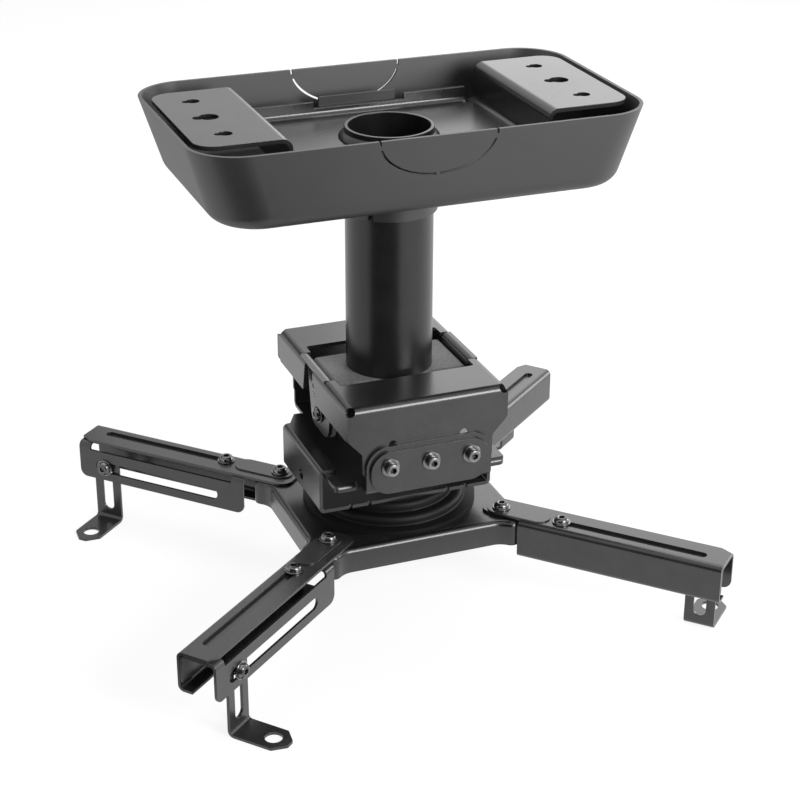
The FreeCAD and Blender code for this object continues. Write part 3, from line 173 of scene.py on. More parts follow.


# %% Rubbed edge and painted glint group
def make_edge_wear_and_glint():
    """Mask of the edges that handling has rubbed, which on the screws is also a painted highlight, from the
    edge attribute of each finished piece.
    """
    inputs = [("Amount", 0.5), ("Patch per metre", 60.0)]
    group, given, result = new_group("edge_wear_and_glint", inputs, [("Mask", "NodeSocketFloat")])
    edge = group.nodes.new("ShaderNodeAttribute")
    edge.attribute_name = "edge"
    place = group.nodes.new("ShaderNodeTexCoord").outputs["Object"]
    patch = noise_node(group, place, given.outputs["Patch per metre"], 4.0, 0.65)
    mask = math_node(group, "MULTIPLY", edge.outputs["Fac"], patch)
    mask = math_node(group, "MULTIPLY", mask, given.outputs["Amount"])
    group.links.new(mask, result.inputs["Mask"])
    return group


edge_wear_and_glint = make_edge_wear_and_glint()
print("rubbed edge:", len(edge_wear_and_glint.nodes), "nodes")

# %% [markdown]
# ## Seven finishes
#
# The sheet parts wear a satin powder coat and the pipe a duller one. The tray and its ring are matte
# moulded plastic, and the swivel disc is a duller nylon, its colour set a little darker as painted shade
# under the channel. The screws are black oxide steel, the strap under the pipe is bare mottled steel,
# paler than its own grey as painted light where the tray shades it, and the scale on the hood is dead
# black. Black parts differ by their gloss far more than by their colour, so the roughness carries the
# look, and only the bare strap's colour drifts by much.

# %% Finish maker
def finish(name, look, metal=0.0, gloss=0.5, mottle=0.15, drift=SLOW_DRIFT):
    """Material from a look: plain and worn colours, roughness and its spread, skin height, wear of the edges;
    on the screws the worn colour of the edges is also a painted highlight.

    mottle is how far the colour drifts either way, and drift how many times in a metre.
    """
    colour, worn_and_glint_colour, roughness, spread, skin_height, wear_and_glint = look
    material = bpy.data.materials.new(name)
    material.use_nodes = True
    tree = material.node_tree
    shader = tree.nodes["Principled BSDF"]
    shader.inputs["Metallic"].default_value = metal
    shader.inputs["Specular IOR Level"].default_value = gloss
    skin = tree.nodes.new("ShaderNodeGroup")
    skin.node_tree = coat_skin
    skin.inputs["Drift per metre"].default_value = drift
    wear_and_glint_mask = tree.nodes.new("ShaderNodeGroup")
    wear_and_glint_mask.node_tree = edge_wear_and_glint
    wear_and_glint_mask.inputs["Amount"].default_value = wear_and_glint
    tone = tree.nodes.new("ShaderNodeMix")
    tone.data_type = "RGBA"
    tone.inputs["A"].default_value = (*[c * (1 - mottle) for c in colour], 1.0)
    tone.inputs["B"].default_value = (*[c * (1 + mottle) for c in colour], 1.0)
    tree.links.new(skin.outputs["Drift"], tone.inputs["Factor"])
    # worn colour on marked edges: real rubbing, and on the screws also a painted highlight
    edge = tree.nodes.new("ShaderNodeMix")
    edge.data_type = "RGBA"
    edge.inputs["B"].default_value = (*worn_and_glint_colour, 1.0)
    tree.links.new(wear_and_glint_mask.outputs["Mask"], edge.inputs["Factor"])
    tree.links.new(tone.outputs["Result"], edge.inputs["A"])
    tree.links.new(edge.outputs["Result"], shader.inputs["Base Color"])
    sheen = math_node(tree, "MULTIPLY_ADD", skin.outputs["Drift"], spread)
    sheen.node.inputs[2].default_value = roughness - spread / 2
    tree.links.new(sheen, shader.inputs["Roughness"])
    bump = tree.nodes.new("ShaderNodeBump")
    bump.inputs["Strength"].default_value = 1.0
    bump.inputs["Distance"].default_value = skin_height
    tree.links.new(skin.outputs["Height"], bump.inputs["Height"])
    tree.links.new(bump.outputs["Normal"], shader.inputs["Normal"])
    return material


# %% Finishes
LOOKS = {                            # colour, worn colour, roughness, its spread, skin height, wear
    "sheet_coat": ((0.0085, 0.0085, 0.009), (0.07, 0.07, 0.072), 0.26, 0.08, 0.03 * MM, 0.5),
    "pipe_coat": ((0.005, 0.005, 0.0053), (0.06, 0.06, 0.06), 0.30, 0.06, 0.04 * MM, 0.3),
    "cover_plastic": ((0.014, 0.014, 0.0148), (0.05, 0.05, 0.05), 0.5, 0.06, 0.04 * MM, 0.2),
    # screws: the bright worn colour on rims and sockets is partly rubbing and partly a painted highlight
    "fastener_steel": ((0.07, 0.07, 0.072), (0.6, 0.6, 0.6), 0.2, 0.08, 0.01 * MM, 0.9),
    # strap: bare zinc grey, set paler still as painted light because the tray shades it
    "strap_coat_painted_light": ((0.19, 0.19, 0.191), (0.4, 0.4, 0.4), 0.62, 0.25, 0.16 * MM, 0.5),
    # disc: matte nylon, its colour a touch darker than the sheet coat as painted shade under the channel
    "disc_nylon_painted_shade": ((0.006, 0.006, 0.0062), (0.02, 0.02, 0.02), 0.55, 0.1, 0.05 * MM, 0.2),
    "mark_paint": ((0.003, 0.003, 0.003), (0.003, 0.003, 0.003), 0.8, 0.1, 0.01 * MM, 0.0),
}
SHINE = {
    "sheet_coat": {"gloss": 0.75},
    "pipe_coat": {"gloss": 0.5},
    "cover_plastic": {"gloss": 0.9},
    "fastener_steel": {"metal": 0.9},
    "strap_coat_painted_light": {"mottle": 0.9, "drift": 420.0},
    "disc_nylon_painted_shade": {"gloss": 0.25},
    "mark_paint": {"gloss": 0.1},
}
FINISHES = {name: finish(name, look, **SHINE[name]) for name, look in LOOKS.items()}
print("finishes:", sorted(FINISHES))

# %% [markdown]
# ## Sheet parts with soft edges
#
# No sheet edge is knife sharp: the press rounds it and the coat rounds it further. A render of sharp
# edges looks like a drawing, because nothing there catches the light. So each packed sheet part is
# copied, its loose triangles are merged, its edges get a narrow bevel, and its flat faces keep their
# own normals. The new strip of faces is also marked, so that the finish can rub it brighter. The tray's
# lock ring is made a little taller on the way.

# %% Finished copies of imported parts
MERGE = 0.002 * MM
FLAT = math.radians(0.5)
STRIP = 1.1                          # widest side of a face that counts as bevel, against the bevel's width
FLATS_WEIGHT = 90


def merged_copy(node):
    """Copy of a node's triangles with shared corners, and flat triangles joined into whole faces."""
    mesh = frame["nodes"][node].data.copy()
    work = bmesh.new()
    work.from_mesh(mesh)
    bmesh.ops.remove_doubles(work, verts=work.verts, dist=MERGE)
    bmesh.ops.dissolve_limit(work, angle_limit=FLAT, verts=work.verts, edges=work.edges)
    work.to_mesh(mesh)
    work.free()
    mesh.materials.clear()
    return mesh


def mark_edges(mesh, strip):
    """Edge attribute: 1 on the points of the bevel's narrow faces, 0 elsewhere."""
    marks = np.zeros(len(mesh.vertices), np.float32)
    for face in mesh.polygons:
        corners = [mesh.vertices[i].co for i in face.vertices]
        sides = [(corners[i] - corners[i - 1]).length for i in range(len(corners))]
        if len(corners) == 4 and min(sides) < strip:
            marks[list(face.vertices)] = 1.0
    mesh.attributes.new("edge", "FLOAT", "POINT").data.foreach_set("value", marks)


def place_piece(piece, node):
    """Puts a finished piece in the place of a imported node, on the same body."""
    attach(piece, body_of_node[node])
    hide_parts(node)
    return piece


def plain_mesh(holder, name):
    """Mesh of an object with its modifiers applied; the object itself is removed."""
    bpy.context.view_layer.update()
    graph = bpy.context.evaluated_depsgraph_get()
    solved = holder.evaluated_get(graph)
    mesh = bpy.data.meshes.new_from_object(solved, preserve_all_data_layers=True, depsgraph=graph)
    mesh.name = name
    bpy.data.objects.remove(holder)
    return mesh


def lower_rim(mesh, drop):
    """Moves the lowest rim of a mesh down, so that a plain ring becomes taller."""
    lowest = min(vertex.co.z for vertex in mesh.vertices)
    for vertex in mesh.vertices:
        if vertex.co.z < lowest + drop / 2:
            vertex.co.z -= drop


# %% Bevelled sheet part
def soft_edged(node, width, coat=None, drop=0.0, sharp=math.radians(28)):
    """A packed sheet part with edges rounded by a bevel of the given width and its lowest rim dropped."""
    name = node + "_finished"
    mesh = merged_copy(node)
    lower_rim(mesh, drop)
    holder = linked(name + "_work", mesh)
    bevel = holder.modifiers.new("edge", "BEVEL")
    bevel.width = width
    bevel.segments = 2
    bevel.limit_method = "ANGLE"
    bevel.angle_limit = sharp
    bevel.use_clamp_overlap = True
    bevel.miter_outer = "MITER_ARC"
    mesh.shade_smooth()
    level = holder.modifiers.new("flats", "WEIGHTED_NORMAL")
    level.weight = FLATS_WEIGHT
    level.keep_sharp = True
    mesh = plain_mesh(holder, name)
    mark_edges(mesh, STRIP * width)
    mesh.materials.append(FINISHES[coat or slot_of_node[node]])
    return place_piece(linked(name, mesh), node)


# %% Sheet parts
EDGE = 0.5 * MM
RING_DROP = 3.5 * MM
sheet_nodes = [node for node, slot in slot_of_node.items() if slot != "fastener_steel"]
coats = {"pipe_foot": "strap_coat_painted_light", "swivel_disc": "disc_nylon_painted_shade", "cover_lock_ring": "cover_plastic"}
drops = {"cover_lock_ring": RING_DROP}
finished = [soft_edged(node, EDGE, coats.get(node), drops.get(node, 0.0)) for node in sorted(sheet_nodes)]
print(len(finished), "finished parts,", sum(len(p.data.polygons) for p in finished), "faces")

# %% [markdown]
# ## Fastener patterns
#
# Every bolt here has a hexagon socket, and most sit on a washer with a nut behind the sheet. A turned
# part is a stack of rings, so each pattern is a list of rings that are joined by quads. The same loop
# makes a round head, the six-sided socket inside it, and a thread: a socket's rings are pulled onto a
# hexagon, and a thread's rings change radius at each half turn. The rim of a head is marked as an edge,
# because a key rubs it bare first; the bright colour that the finish puts there is also a painted
# highlight.

# %% Rings
SIDES = 48
TURNS = np.arange(SIDES) * 2 * math.pi / SIDES


def circle(radius):
    """Points on a circle, one for each direction."""
    return np.column_stack((np.cos(TURNS), np.sin(TURNS))) * radius


def six_sided(flats):
    """Points on a hexagon with a flat towards +X, one for each of the circle's directions."""
    lean = (TURNS + math.pi / 6) % (math.pi / 3) - math.pi / 6
    return circle(1.0) * (flats / 2 / np.cos(lean))[:, None]


def ring_loft(name, rings, loop=False, sharp=math.radians(35)):
    """Mesh through (outline, height, edge mark) rings in millimetres, capped or closed on itself."""
    points = np.array([[(x, y, z) for x, y in outline] for outline, z, _ in rings]) * MM
    count = len(rings)
    verts = points.reshape(-1, 3).tolist()
    # edge marks: where the finish rubs the coat bare, and on screws, washers and nuts also paints a highlight
    marks = [mark for _, _, mark in rings for _ in range(SIDES)]
    faces = []
    for k in range(count if loop else count - 1):
        low, high = k * SIDES, (k + 1) % count * SIDES
        faces += [(low + i, low + (i + 1) % SIDES, high + (i + 1) % SIDES, high + i) for i in range(SIDES)]
    if not loop:
        for first, order in ((0, -1), ((count - 1) * SIDES, 1)):
            faces.append([first + i for i in range(SIDES)][::order])
    mesh = bpy.data.meshes.new(name)
    mesh.from_pydata(verts, [], faces)
    mesh.attributes.new("edge", "FLOAT", "POINT").data.foreach_set("value", np.array(marks, np.float32))
    mesh.shade_smooth()
    mesh.set_sharp_from_angle(angle=sharp)
    return linked(name, mesh)


# %% Threads and sockets
CREST_PLAY = 0.02                    # crest under the nominal radius
ROOT_DEPTH = 0.45                    # depth of a thread against its pitch
TIP = 0.4                            # chamfer of a tip
TIP_LENGTH = 0.6
NECK = 1.5                           # plain neck under the head, in pitches


def threaded(shank, length, pitch):
    """Rings of a thread from the tip up to the head, with a chamfered tip and a short plain neck."""
    crest = circle(shank - CREST_PLAY)
    root = circle(shank - ROOT_DEPTH * pitch)
    rings = [(circle(shank - 0.16 * pitch - 0.5), -length, 0), (circle(shank - TIP), -length + TIP, 0)]
    z = -length + TIP_LENGTH
    while z < -NECK * pitch:
        rings += [(crest, z, 0), (crest, z + 0.15 * pitch, 0)]
        rings += [(root, z + 0.5 * pitch, 0), (root, z + 0.65 * pitch, 0)]
        z += pitch
    return rings + [(crest, -pitch, 0), (crest, 0, 0)]


def socket_rings(flats, depth, top):
    """Rings of a hexagon socket: a small chamfer, straight walls and a drilled bottom."""
    return [
        (six_sided(flats + 0.5), top, 0.6),
        (six_sided(flats), top - 0.25, 0.6),
        (six_sided(flats), top - depth, 0),
        (circle(flats * 0.36), top - depth - 0.15, 0),
        (circle(0.05), top - depth - 0.6, 0),
    ]


# %% Bolt, washer and nut patterns
SOFT = 0.15                          # broken edge under a head
CROWN = 0.55                         # flat top of a dome against its head
RIM = 0.16                           # rounding of a tall head against its height


def domed_bolt(name, size, length):
    """Bolt with a low domed head; the head rises from z = 0."""
    shank, head, height, flats, depth, pitch = size
    crown = head * CROWN
    rings = threaded(shank, length, pitch) + [(circle(head - SOFT), 0, 0.3), (circle(head), SOFT, 0.8)]
    # the marks fade up the dome: a rubbed rim that also stands as a painted ring of highlight
    for step in np.linspace(0.12, 1.0, 9):
        turn = step * math.pi / 2
        radius = crown + (head - crown) * math.cos(turn)
        rings.append((circle(radius), height * math.sin(turn), 0.8 * (1 - step)))
    return ring_loft(name, rings + socket_rings(flats, depth, height))


def cap_bolt(name, size, length):
    """Bolt with a tall straight head and a rounded rim."""
    shank, head, height, flats, depth, pitch = size
    rim = RIM * height
    rings = threaded(shank, length, pitch) + [(circle(head - SOFT), 0, 0.2), (circle(head), SOFT, 0.3)]
    for turn in np.linspace(0, math.pi / 2, 6):
        rings.append((circle(head - rim * (1 - math.cos(turn))), height - rim * (1 - math.sin(turn)), 0.9))
    return ring_loft(name, rings + socket_rings(flats, depth, height))


def flat_washer(name, radius, hole, thickness):
    """Washer that lies on z = 0, with its edges broken."""
    soft = 0.18
    rings = [(circle(hole), soft, 0), (circle(hole + soft), 0, 0), (circle(radius - soft), 0, 0.5)]
    rings += [(circle(radius), soft, 0.7), (circle(radius), thickness - soft, 0.7)]
    rings += [(circle(radius - soft), thickness, 0.7), (circle(hole + soft), thickness, 0)]
    rings += [(circle(hole), thickness - soft, 0)]
    return ring_loft(name, rings, loop=True)


def hexagon_nut(name, flats, hole, height):
    """Nut that hangs from z = 0, with its corners turned off at both ends."""
    face, turned = flats * 0.48, 0.11 * height
    rings = [(circle(hole), -height + 0.4, 0), (circle(hole + 0.4), -height, 0), (circle(face), -height, 0.3)]
    rings += [(six_sided(flats), -height + turned, 0.8), (six_sided(flats), -turned, 0.8)]
    rings += [(circle(face), 0, 0.3), (circle(hole + 0.4), 0, 0), (circle(hole), -0.4, 0)]
    return ring_loft(name, rings, loop=True)


# %% [markdown]
# ## Seats
#
# Each packed fastener node holds one or more loose solids. Their corners say where each one sits and
# how long it is, so no place is typed here. The direction of a bolt follows from what it holds: the
# tilt bolts point to the sides, the roll bolts to the front and back, the clamp bolts of the feet
# across their arm, the ring's screw away from the pipe, and all others upwards.

# %% Measuring seats
def loose_solids(node):
    """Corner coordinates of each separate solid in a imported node."""
    work = bmesh.new()
    work.from_mesh(frame["nodes"][node].data)
    bmesh.ops.remove_doubles(work, verts=work.verts, dist=MERGE)
    left = set(work.verts)
    solids = []
    while left:
        group, edge = set(), [next(iter(left))]
        while edge:
            vert = edge.pop()
            if vert in group:
                continue
            group.add(vert)
            edge += [e.other_vert(vert) for e in vert.link_edges]
        left -= group
        solids.append(np.array([v.co for v in group]))
    work.free()
    return sorted(solids, key=lambda points: tuple(points.mean(0).round(4)))


joint_axis = {joint["name"]: Vector(joint["axis"]) for joint in record["behaviour"]["joints"]}


def direction(node, middle):
    """Unit vector from a fastener's tip to its head."""
    if node.startswith("tilt"):
        return Vector((math.copysign(1, middle[0]), 0, 0))
    if node.startswith("roll"):
        return Vector((0, math.copysign(1, middle[1]), 0))
    if node.startswith("foot"):
        along = joint_axis["foot_run_" + node.split("_", 2)[2]]
        return Vector((-along.y, along.x, 0))
    if node == "lock_ring_screw":
        return Vector((middle[0], middle[1], 0)).normalized()
    return Vector((0, 0, 1))


def seats(node):
    """Axis point, direction, lowest and highest reach along it, for each solid of a node."""
    found = []
    for points in loose_solids(node):
        axis = direction(node, points.mean(0))
        turn = np.array(axis.to_track_quat("Z", "Y").to_matrix())
        local = points @ turn
        low, high = local.min(0), local.max(0)
        middle = Vector(turn @ np.array([(low[0] + high[0]) / 2, (low[1] + high[1]) / 2, 0.0]))
        found.append((middle, axis, low[2], high[2]))
    return found


heads = [middle + axis * high for middle, axis, low, high in seats("tilt_bolts")]
print("tilt bolts sit at", [tuple(round(c, 4) for c in head) for head in heads])

# %% [markdown]
# ## Seating them with Geometry Nodes
#
# One tree seats every kind. It takes points that carry an axis, stands a pattern on each point, turns
# bolts by a random amount about their own axis, as no two are ever tightened to the same turn, and
# makes the copies real. Copies could also be placed in a loop, but a tree keeps one rule for all. Nuts
# are not turned, because what they lie against holds them level.

# %% Tree helpers
def new_input(tree, name, kind, value=None):
    """Adds a named input to a tree; gives its identifier."""
    socket = tree.interface.new_socket(name, in_out="INPUT", socket_type=kind)
    if value is not None:
        socket.default_value = value
    return socket.identifier


def end_tree(tree, instances, given):
    """Makes the instances real, gives them the tree's finish and hands them out."""
    tree.interface.new_socket("Geometry", in_out="OUTPUT", socket_type="NodeSocketGeometry")
    real = tree.nodes.new("GeometryNodeRealizeInstances")
    coat = tree.nodes.new("GeometryNodeSetMaterial")
    result = tree.nodes.new("NodeGroupOutput")
    tree.links.new(instances, real.inputs["Geometry"])
    tree.links.new(real.outputs["Geometry"], coat.inputs["Geometry"])
    tree.links.new(given.outputs["Finish"], coat.inputs["Material"])
    tree.links.new(coat.outputs["Geometry"], result.inputs["Geometry"])


# %% Seating tree
TURN_SEED = 7
seating = bpy.data.node_groups.new("seated_fasteners", "GeometryNodeTree")
new_input(seating, "Seats", "NodeSocketGeometry")
PATTERN = new_input(seating, "Pattern", "NodeSocketObject")
COATING = new_input(seating, "Finish", "NodeSocketMaterial")
MOST_TURN = new_input(seating, "Most turn", "NodeSocketFloat", 0.0)
SEED = new_input(seating, "Seed", "NodeSocketInt", TURN_SEED)
given = seating.nodes.new("NodeGroupInput")
axis = seating.nodes.new("GeometryNodeInputNamedAttribute")
axis.data_type = "FLOAT_VECTOR"
axis.inputs["Name"].default_value = "axis"
aim = seating.nodes.new("FunctionNodeAlignRotationToVector")
aim.axis = "Z"
turn = seating.nodes.new("FunctionNodeRandomValue")
turn.data_type = "FLOAT"
spin = seating.nodes.new("FunctionNodeAxisAngleToRotation")
spin.inputs["Axis"].default_value = (0.0, 0.0, 1.0)
turned = seating.nodes.new("FunctionNodeRotateRotation")
turned.rotation_space = "LOCAL"
pattern = seating.nodes.new("GeometryNodeObjectInfo")
stand = seating.nodes.new("GeometryNodeInstanceOnPoints")
join = seating.links.new
join(axis.outputs["Attribute"], aim.inputs["Vector"])
join(given.outputs["Most turn"], next(s for s in turn.inputs if s.name == "Max" and s.type == "VALUE"))
join(given.outputs["Seed"], turn.inputs["Seed"])
join(next(s for s in turn.outputs if s.type == "VALUE"), spin.inputs["Angle"])
join(aim.outputs["Rotation"], turned.inputs["Rotation"])
join(spin.outputs["Rotation"], turned.inputs["Rotate By"])
join(given.outputs["Pattern"], pattern.inputs["Object"])
join(given.outputs["Seats"], stand.inputs["Points"])
join(pattern.outputs["Geometry"], stand.inputs["Instance"])
join(turned.outputs["Rotation"], stand.inputs["Rotation"])
end_tree(seating, stand.outputs["Instances"], given)
print("seating tree:", len(seating.nodes), "nodes")


# %% Seating helper
def seat_points(name, places, axes):
    """Object of loose points that carry an axis each."""
    mesh = bpy.data.meshes.new(name)
    mesh.from_pydata([tuple(p) for p in places], [], [])
    flat = np.array([tuple(a) for a in axes], np.float32).ravel()
    mesh.attributes.new("axis", "FLOAT_VECTOR", "POINT").data.foreach_set("vector", flat)
    return linked(name, mesh)


def seated(name, places, axes, pattern, coating, most_turn):
    """Plain object with a pattern on every point; the pattern and the points are removed."""
    holder = seat_points(name + "_seats", places, axes)
    nodes = holder.modifiers.new("seating", "NODES")
    nodes.node_group = seating
    nodes[PATTERN] = pattern
    nodes[COATING] = coating
    nodes[MOST_TURN] = most_turn
    nodes[SEED] = TURN_SEED
    mesh = plain_mesh(holder, name)
    bpy.data.objects.remove(pattern)
    return linked(name, mesh)


# %% Fasteners
SIZES = {                            # shank, head, head height, socket flats, socket depth, thread pitch
    "m4": (2.0, 3.6, 2.6, 2.5, 1.4, 0.7),
    "m5": (2.5, 4.4, 5.0, 4.0, 2.6, 0.8),
    "m6": (3.0, 5.4, 3.3, 4.0, 2.0, 1.0),
    "m10": (5.0, 8.0, 5.0, 8.0, 3.2, 1.5),
}
WASHER_R = {"m5": 6.4, "m6": 6.4, "m10": 10.5}
NUT_FLATS = {"m5": 8.0, "m6": 10.0, "m10": 17.0}
TALL_HEADS = ("m5", "m10")
THREAD_OF = {"roll": "m5", "swivel": "m10", "lock": "m4"}
PLAY = 0.1


def fastener(node):
    """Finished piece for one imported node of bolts, washers or nuts."""
    name = node + "_finished"
    thread = THREAD_OF.get(node.split("_")[0], "m6")
    size = SIZES[thread]
    spots = seats(node)
    reach = (spots[0][3] - spots[0][2]) / MM
    if "washer" in node:
        pattern = flat_washer(name + "_pattern", WASHER_R[thread], size[0] + PLAY, reach)
        places = [m + a * low for m, a, low, high in spots]
    elif "nut" in node:
        pattern = hexagon_nut(name + "_pattern", NUT_FLATS[thread], size[0] + PLAY, reach)
        places = [m + a * high for m, a, low, high in spots]
    else:
        make = cap_bolt if thread in TALL_HEADS else domed_bolt
        pattern = make(name + "_pattern", size, reach - size[2])
        places = [m + a * (high - size[2] * MM) for m, a, low, high in spots]
    most_turn = 0.0 if "nut" in node else math.pi
    axes = [a for m, a, low, high in spots]
    piece = seated(name, places, axes, pattern, FINISHES["fastener_steel"], most_turn)
    return place_piece(piece, node)


fastener_nodes = [node for node, slot in slot_of_node.items() if slot == "fastener_steel"]
fasteners = [fastener(node) for node in sorted(fastener_nodes)]
print(len(fasteners), "fastener pieces,", sum(len(p.data.polygons) for p in fasteners), "faces")

# %% [markdown]
# ## Weld around the pipe
#
# Where the pipe comes through the pan, a welder went round it once. Such a bead is a row of overlapping
# drops, each laid on the last, and never quite even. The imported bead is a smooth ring, so the drops go
# on it as another use of the seating tree: a flat drop on each point of a circle, leaning outwards and
# turned a little at random.

# %% Weld drops
def weld_drop(name, length, width, height):
    """Rounded drop: a low dome of a few rings, in millimetres."""
    rings = []
    for rise in np.linspace(0.0, 0.96, 5):
        side = math.sqrt(1 - rise ** 2)
        rings.append((circle(1.0) * np.array([length, width]) * side, height * rise, 0.3))
    return ring_loft(name, rings)


PIPE_R = 30.15 * MM
PAN_TOP = -26.0 * MM
BEAD_OUT = 1.5 * MM                  # middle of the bead from the pipe
BEAD_UP = 1.5 * MM                   # and from the pan
DROPS = 64
DROP_SIZE = (2.4, 1.9, 1.3)
DROP_TURN = 0.9
UNEVEN = 0.35
bead = PIPE_R + BEAD_OUT
ring_turns = [2 * math.pi * k / DROPS for k in range(DROPS)]
wobble = np.random.default_rng(11).uniform(-UNEVEN, UNEVEN, (DROPS, 2)) * MM
drop_places = [
    Vector(((bead + w[0]) * math.cos(t), (bead + w[0]) * math.sin(t), PAN_TOP + BEAD_UP + w[1]))
    for t, w in zip(ring_turns, wobble)
]
drop_axes = [Vector((math.cos(t), math.sin(t), 1.0)).normalized() for t in ring_turns]
drop = weld_drop("drop_pattern", *DROP_SIZE)
weld = seated("weld_drops", drop_places, drop_axes, drop, FINISHES["pipe_coat"], DROP_TURN)
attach(weld, body_of_node["drop_pipe"])
print("weld:", DROPS, "drops,", len(weld.data.polygons), "faces")

# %% [markdown]
# ## Tilt scale
#
# The hood's two flaps turn past the tilt bolts, and a row of short marks on each flap shows by how
# much. Marks at equal angles follow a rule, so a second tree makes them: it lays points along an arc
# about the tilt axis, turns a thin bar to the arc's radius at each point, and makes the bars real. Its
# inputs are the arc's radius, its first angle, its step and the sizes of a mark.

# %% Scale tree
scale_tree = bpy.data.node_groups.new("tilt_scale", "GeometryNodeTree")
new_input(scale_tree, "Holder", "NodeSocketGeometry")
MARKS = new_input(scale_tree, "Marks", "NodeSocketInt", 10)
ARC = new_input(scale_tree, "Radius", "NodeSocketFloat", 0.0165)
FIRST = new_input(scale_tree, "First angle", "NodeSocketFloat", 0.0)
STEP = new_input(scale_tree, "Step", "NodeSocketFloat", 0.1)
BAR = new_input(scale_tree, "Bar", "NodeSocketVector", (0.0001, 0.003, 0.0005))
MIDDLE = new_input(scale_tree, "Middle", "NodeSocketVector", (0.0, 0.0, 0.0))
PAINT = new_input(scale_tree, "Finish", "NodeSocketMaterial")
given = scale_tree.nodes.new("NodeGroupInput")
count = scale_tree.nodes.new("GeometryNodeInputIndex").outputs["Index"]
angle = math_node(scale_tree, "MULTIPLY", count, given.outputs["Step"])
angle = math_node(scale_tree, "ADD", angle, given.outputs["First angle"])
along = math_node(scale_tree, "COSINE", angle, 0.0)
along = math_node(scale_tree, "MULTIPLY", along, given.outputs["Radius"])
above = math_node(scale_tree, "SINE", angle, 0.0)
above = math_node(scale_tree, "MULTIPLY", above, given.outputs["Radius"])
spot = scale_tree.nodes.new("ShaderNodeCombineXYZ")
lean = scale_tree.nodes.new("ShaderNodeCombineXYZ")
place = scale_tree.nodes.new("ShaderNodeVectorMath")
dots = scale_tree.nodes.new("GeometryNodePoints")
bar = scale_tree.nodes.new("GeometryNodeMeshCube")
stand = scale_tree.nodes.new("GeometryNodeInstanceOnPoints")
join = scale_tree.links.new
join(along, spot.inputs["Y"])
join(above, spot.inputs["Z"])
join(angle, lean.inputs["X"])
join(spot.outputs[0], place.inputs[0])
join(given.outputs["Middle"], place.inputs[1])
join(given.outputs["Marks"], dots.inputs["Count"])
join(place.outputs[0], dots.inputs["Position"])
join(given.outputs["Bar"], bar.inputs["Size"])
join(dots.outputs[0], stand.inputs["Points"])
join(bar.outputs["Mesh"], stand.inputs["Instance"])
join(lean.outputs[0], stand.inputs["Rotation"])
end_tree(scale_tree, stand.outputs["Instances"], given)
print("scale tree:", len(scale_tree.nodes), "nodes")


# %% Marks on both flaps
FLAP_OUT = 51.8 * MM                 # outer face of a flap from the middle
MARK_COUNT = 10
MARK_ARC = 16.5 * MM
MARK_FIRST = math.radians(-52)
MARK_STEP = math.radians(6.6)
MARK_SIZE = (0.12 * MM, 3.2 * MM, 0.6 * MM)


def tilt_marks(side, flap_out, axis_z):
    """Plain object of marks on one flap; side is -1 or 1."""
    name = "tilt_marks_left" if side < 0 else "tilt_marks_right"
    holder = linked(name + "_work", bpy.data.meshes.new(name + "_work"))
    nodes = holder.modifiers.new("scale", "NODES")
    nodes.node_group = scale_tree
    nodes[MARKS] = MARK_COUNT
    nodes[ARC] = MARK_ARC
    nodes[FIRST] = MARK_FIRST
    nodes[STEP] = MARK_STEP
    nodes[BAR] = MARK_SIZE
    nodes[MIDDLE] = (side * flap_out, 0.0, axis_z)
    nodes[PAINT] = FINISHES["mark_paint"]
    marks = linked(name, plain_mesh(holder, name))
    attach(marks, "hood")
    return marks


tilt_joint = next(joint for joint in record["behaviour"]["joints"] if joint["name"] == "tilt")
tilt_axis_z = tilt_joint["pos_m"][2]
scales = [tilt_marks(side, FLAP_OUT, tilt_axis_z) for side in (-1, 1)]
print("tilt scale:", [len(scale.data.polygons) for scale in scales], "faces at height", tilt_axis_z)

# %% [markdown]
# ## Floor and background
#
# The photograph has a pure white ground. The floor is pale: its own white shows to the camera and in
# reflections, and a part of it still answers to the lamps, so that the shadow stays. The world is white
# to the camera and to reflections too, while its light on the object stays at a plain level. More light
# would whiten the ground as well, but it would also wash out the blacks.

# %% Floor
def seen_by_eye(tree):
    """Socket that is 1 for camera, glossy and transmission rays and 0 for the light that falls on things."""
    ray = tree.nodes.new("ShaderNodeLightPath")
    seen = math_node(tree, "MAXIMUM", ray.outputs["Is Camera Ray"], ray.outputs["Is Glossy Ray"])
    return math_node(tree, "MAXIMUM", seen, ray.outputs["Is Transmission Ray"])


def stage_mesh(name, points, faces, material):
    """Stage object from points and faces, outside the part itself."""
    mesh = bpy.data.meshes.new(name)
    mesh.from_pydata(points, [], faces)
    mesh.materials.append(material)
    thing = linked(name, mesh)
    return thing


FLOOR_COLOUR = (0.9, 0.9, 0.9, 1.0)
FLOOR_LIT = (0.25, 0.25, 0.25, 1.0)  # the part that answers to the lamps
FLOOR_OWN = 0.86                     # the floor's own white
FLOOR_REACH = 6.0
pale = bpy.data.materials.new("pale_floor")
pale.use_nodes = True
tree = pale.node_tree
base = tree.nodes["Principled BSDF"]
base.inputs["Base Color"].default_value = FLOOR_COLOUR
base.inputs["Roughness"].default_value = 0.9
base.inputs["Specular IOR Level"].default_value = 0.0
lit = tree.nodes.new("ShaderNodeBsdfDiffuse")
lit.inputs["Color"].default_value = FLOOR_LIT
own = tree.nodes.new("ShaderNodeEmission")
own.inputs["Strength"].default_value = FLOOR_OWN
shown = tree.nodes.new("ShaderNodeAddShader")
which = tree.nodes.new("ShaderNodeMixShader")
tree.links.new(lit.outputs[0], shown.inputs[0])
tree.links.new(own.outputs[0], shown.inputs[1])
tree.links.new(seen_by_eye(tree), which.inputs[0])
tree.links.new(base.outputs[0], which.inputs[1])
tree.links.new(shown.outputs[0], which.inputs[2])
tree.links.new(which.outputs[0], tree.nodes["Material Output"].inputs["Surface"])
floor_z = cad_box[0][2]
quarters = ((-1, -1), (1, -1), (1, 1), (-1, 1))
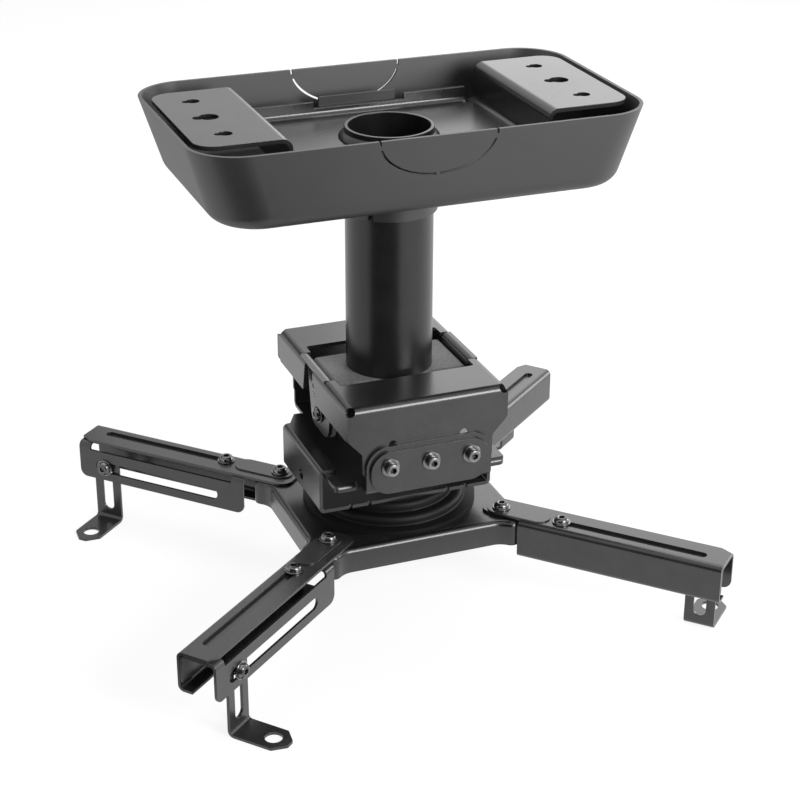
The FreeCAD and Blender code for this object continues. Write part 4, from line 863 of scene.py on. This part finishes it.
corners = [(x * FLOOR_REACH, y * FLOOR_REACH, floor_z) for x, y in quarters]
stage_mesh("floor", corners, [(0, 1, 2, 3)], pale)
print("floor at height", round(floor_z, 4))

# %% World
WORLD_LIGHT = 0.28                   # what falls on the object; to the eye the world is 1
world = bpy.data.worlds.new("studio")
bpy.context.scene.world = world
world.use_nodes = True
sky = world.node_tree
level = math_node(sky, "MULTIPLY_ADD", seen_by_eye(sky), 1 - WORLD_LIGHT)
level.node.inputs[2].default_value = WORLD_LIGHT
sky.nodes["Background"].inputs["Color"].default_value = (1.0, 1.0, 1.0, 1.0)
sky.links.new(level, sky.nodes["Background"].inputs["Strength"])
print("world light:", WORLD_LIGHT)

# %% [markdown]
# ## Lamps and dark cards
#
# Black things show their light by reflection, so the lamps are large: one overhead and behind gives the
# top faces their pale sheen, one at the front right draws the bends, and two weaker ones at the right
# and behind it rim the pipe and the arms. A photographer also hangs dark cards, because a black pipe in
# a white room turns grey. Two cards, seen only in reflections, leave the pipe its deep middle and the
# back arm its dark top.

# %% Dark cards
CARD_COLOUR = (0.004, 0.004, 0.004, 1.0)
CARD_STEPS = 24
CARD_LIFT = 0.002                    # lower edge above the floor
card_black = bpy.data.materials.new("card_black")
card_black.use_nodes = True
card_shader = card_black.node_tree.nodes["Principled BSDF"]
card_shader.inputs["Base Color"].default_value = CARD_COLOUR
card_shader.inputs["Specular IOR Level"].default_value = 0.0


def dark_card(name, first, last, low, high):
    """Part of a cone between two angles from -Y and two (radius, height) edges; seen only in reflections."""
    sweep = [math.radians(first + (last - first) * k / CARD_STEPS) for k in range(CARD_STEPS + 1)]
    points = []
    for radius, height in (low, high):
        points += [(radius * math.sin(a), -radius * math.cos(a), height) for a in sweep]
    row = CARD_STEPS + 1
    faces = [(k, k + 1, row + k + 1, row + k) for k in range(CARD_STEPS)]
    card = stage_mesh(name, points, faces, card_black)
    for sight in ("camera", "diffuse", "transmission", "volume_scatter", "shadow"):
        setattr(card, "visible_" + sight, False)
    print(name, "spans", last - first, "degrees")


dark_card("dark_card_front", -70, 4, (0.32, floor_z + CARD_LIFT), (0.95, 0.40))
dark_card("dark_card_back", 179, 240, (1.20, 0.10), (1.20, 0.36))


# %% Lamps
def soft_lamp(name, place, target, size, watts):
    """Square area lamp aimed at a point."""
    data = bpy.data.lights.new(name, "AREA")
    data.size = size
    data.energy = watts
    lamp = linked(name, data)
    turn = (Vector(target) - Vector(place)).to_track_quat("-Z", "Y").to_matrix().to_4x4()
    lamp.matrix_world = Matrix.Translation(Vector(place)) @ turn


soft_lamp("overhead", (0.1, 0.7, 1.4), (0, 0, -0.2), 1.2, 9.0)
soft_lamp("front_right", (0.60, -1.40, 0.44), (0, 0, -0.05), 0.7, 18.0)
soft_lamp("back_right", (1.00, 1.30, 0.55), (0, 0, -0.1), 1.1, 4.5)
soft_lamp("right", (1.30, 0.10, -0.02), (0, 0, -0.25), 0.6, 5.0)
bpy.context.scene.view_settings.view_transform = "Standard"
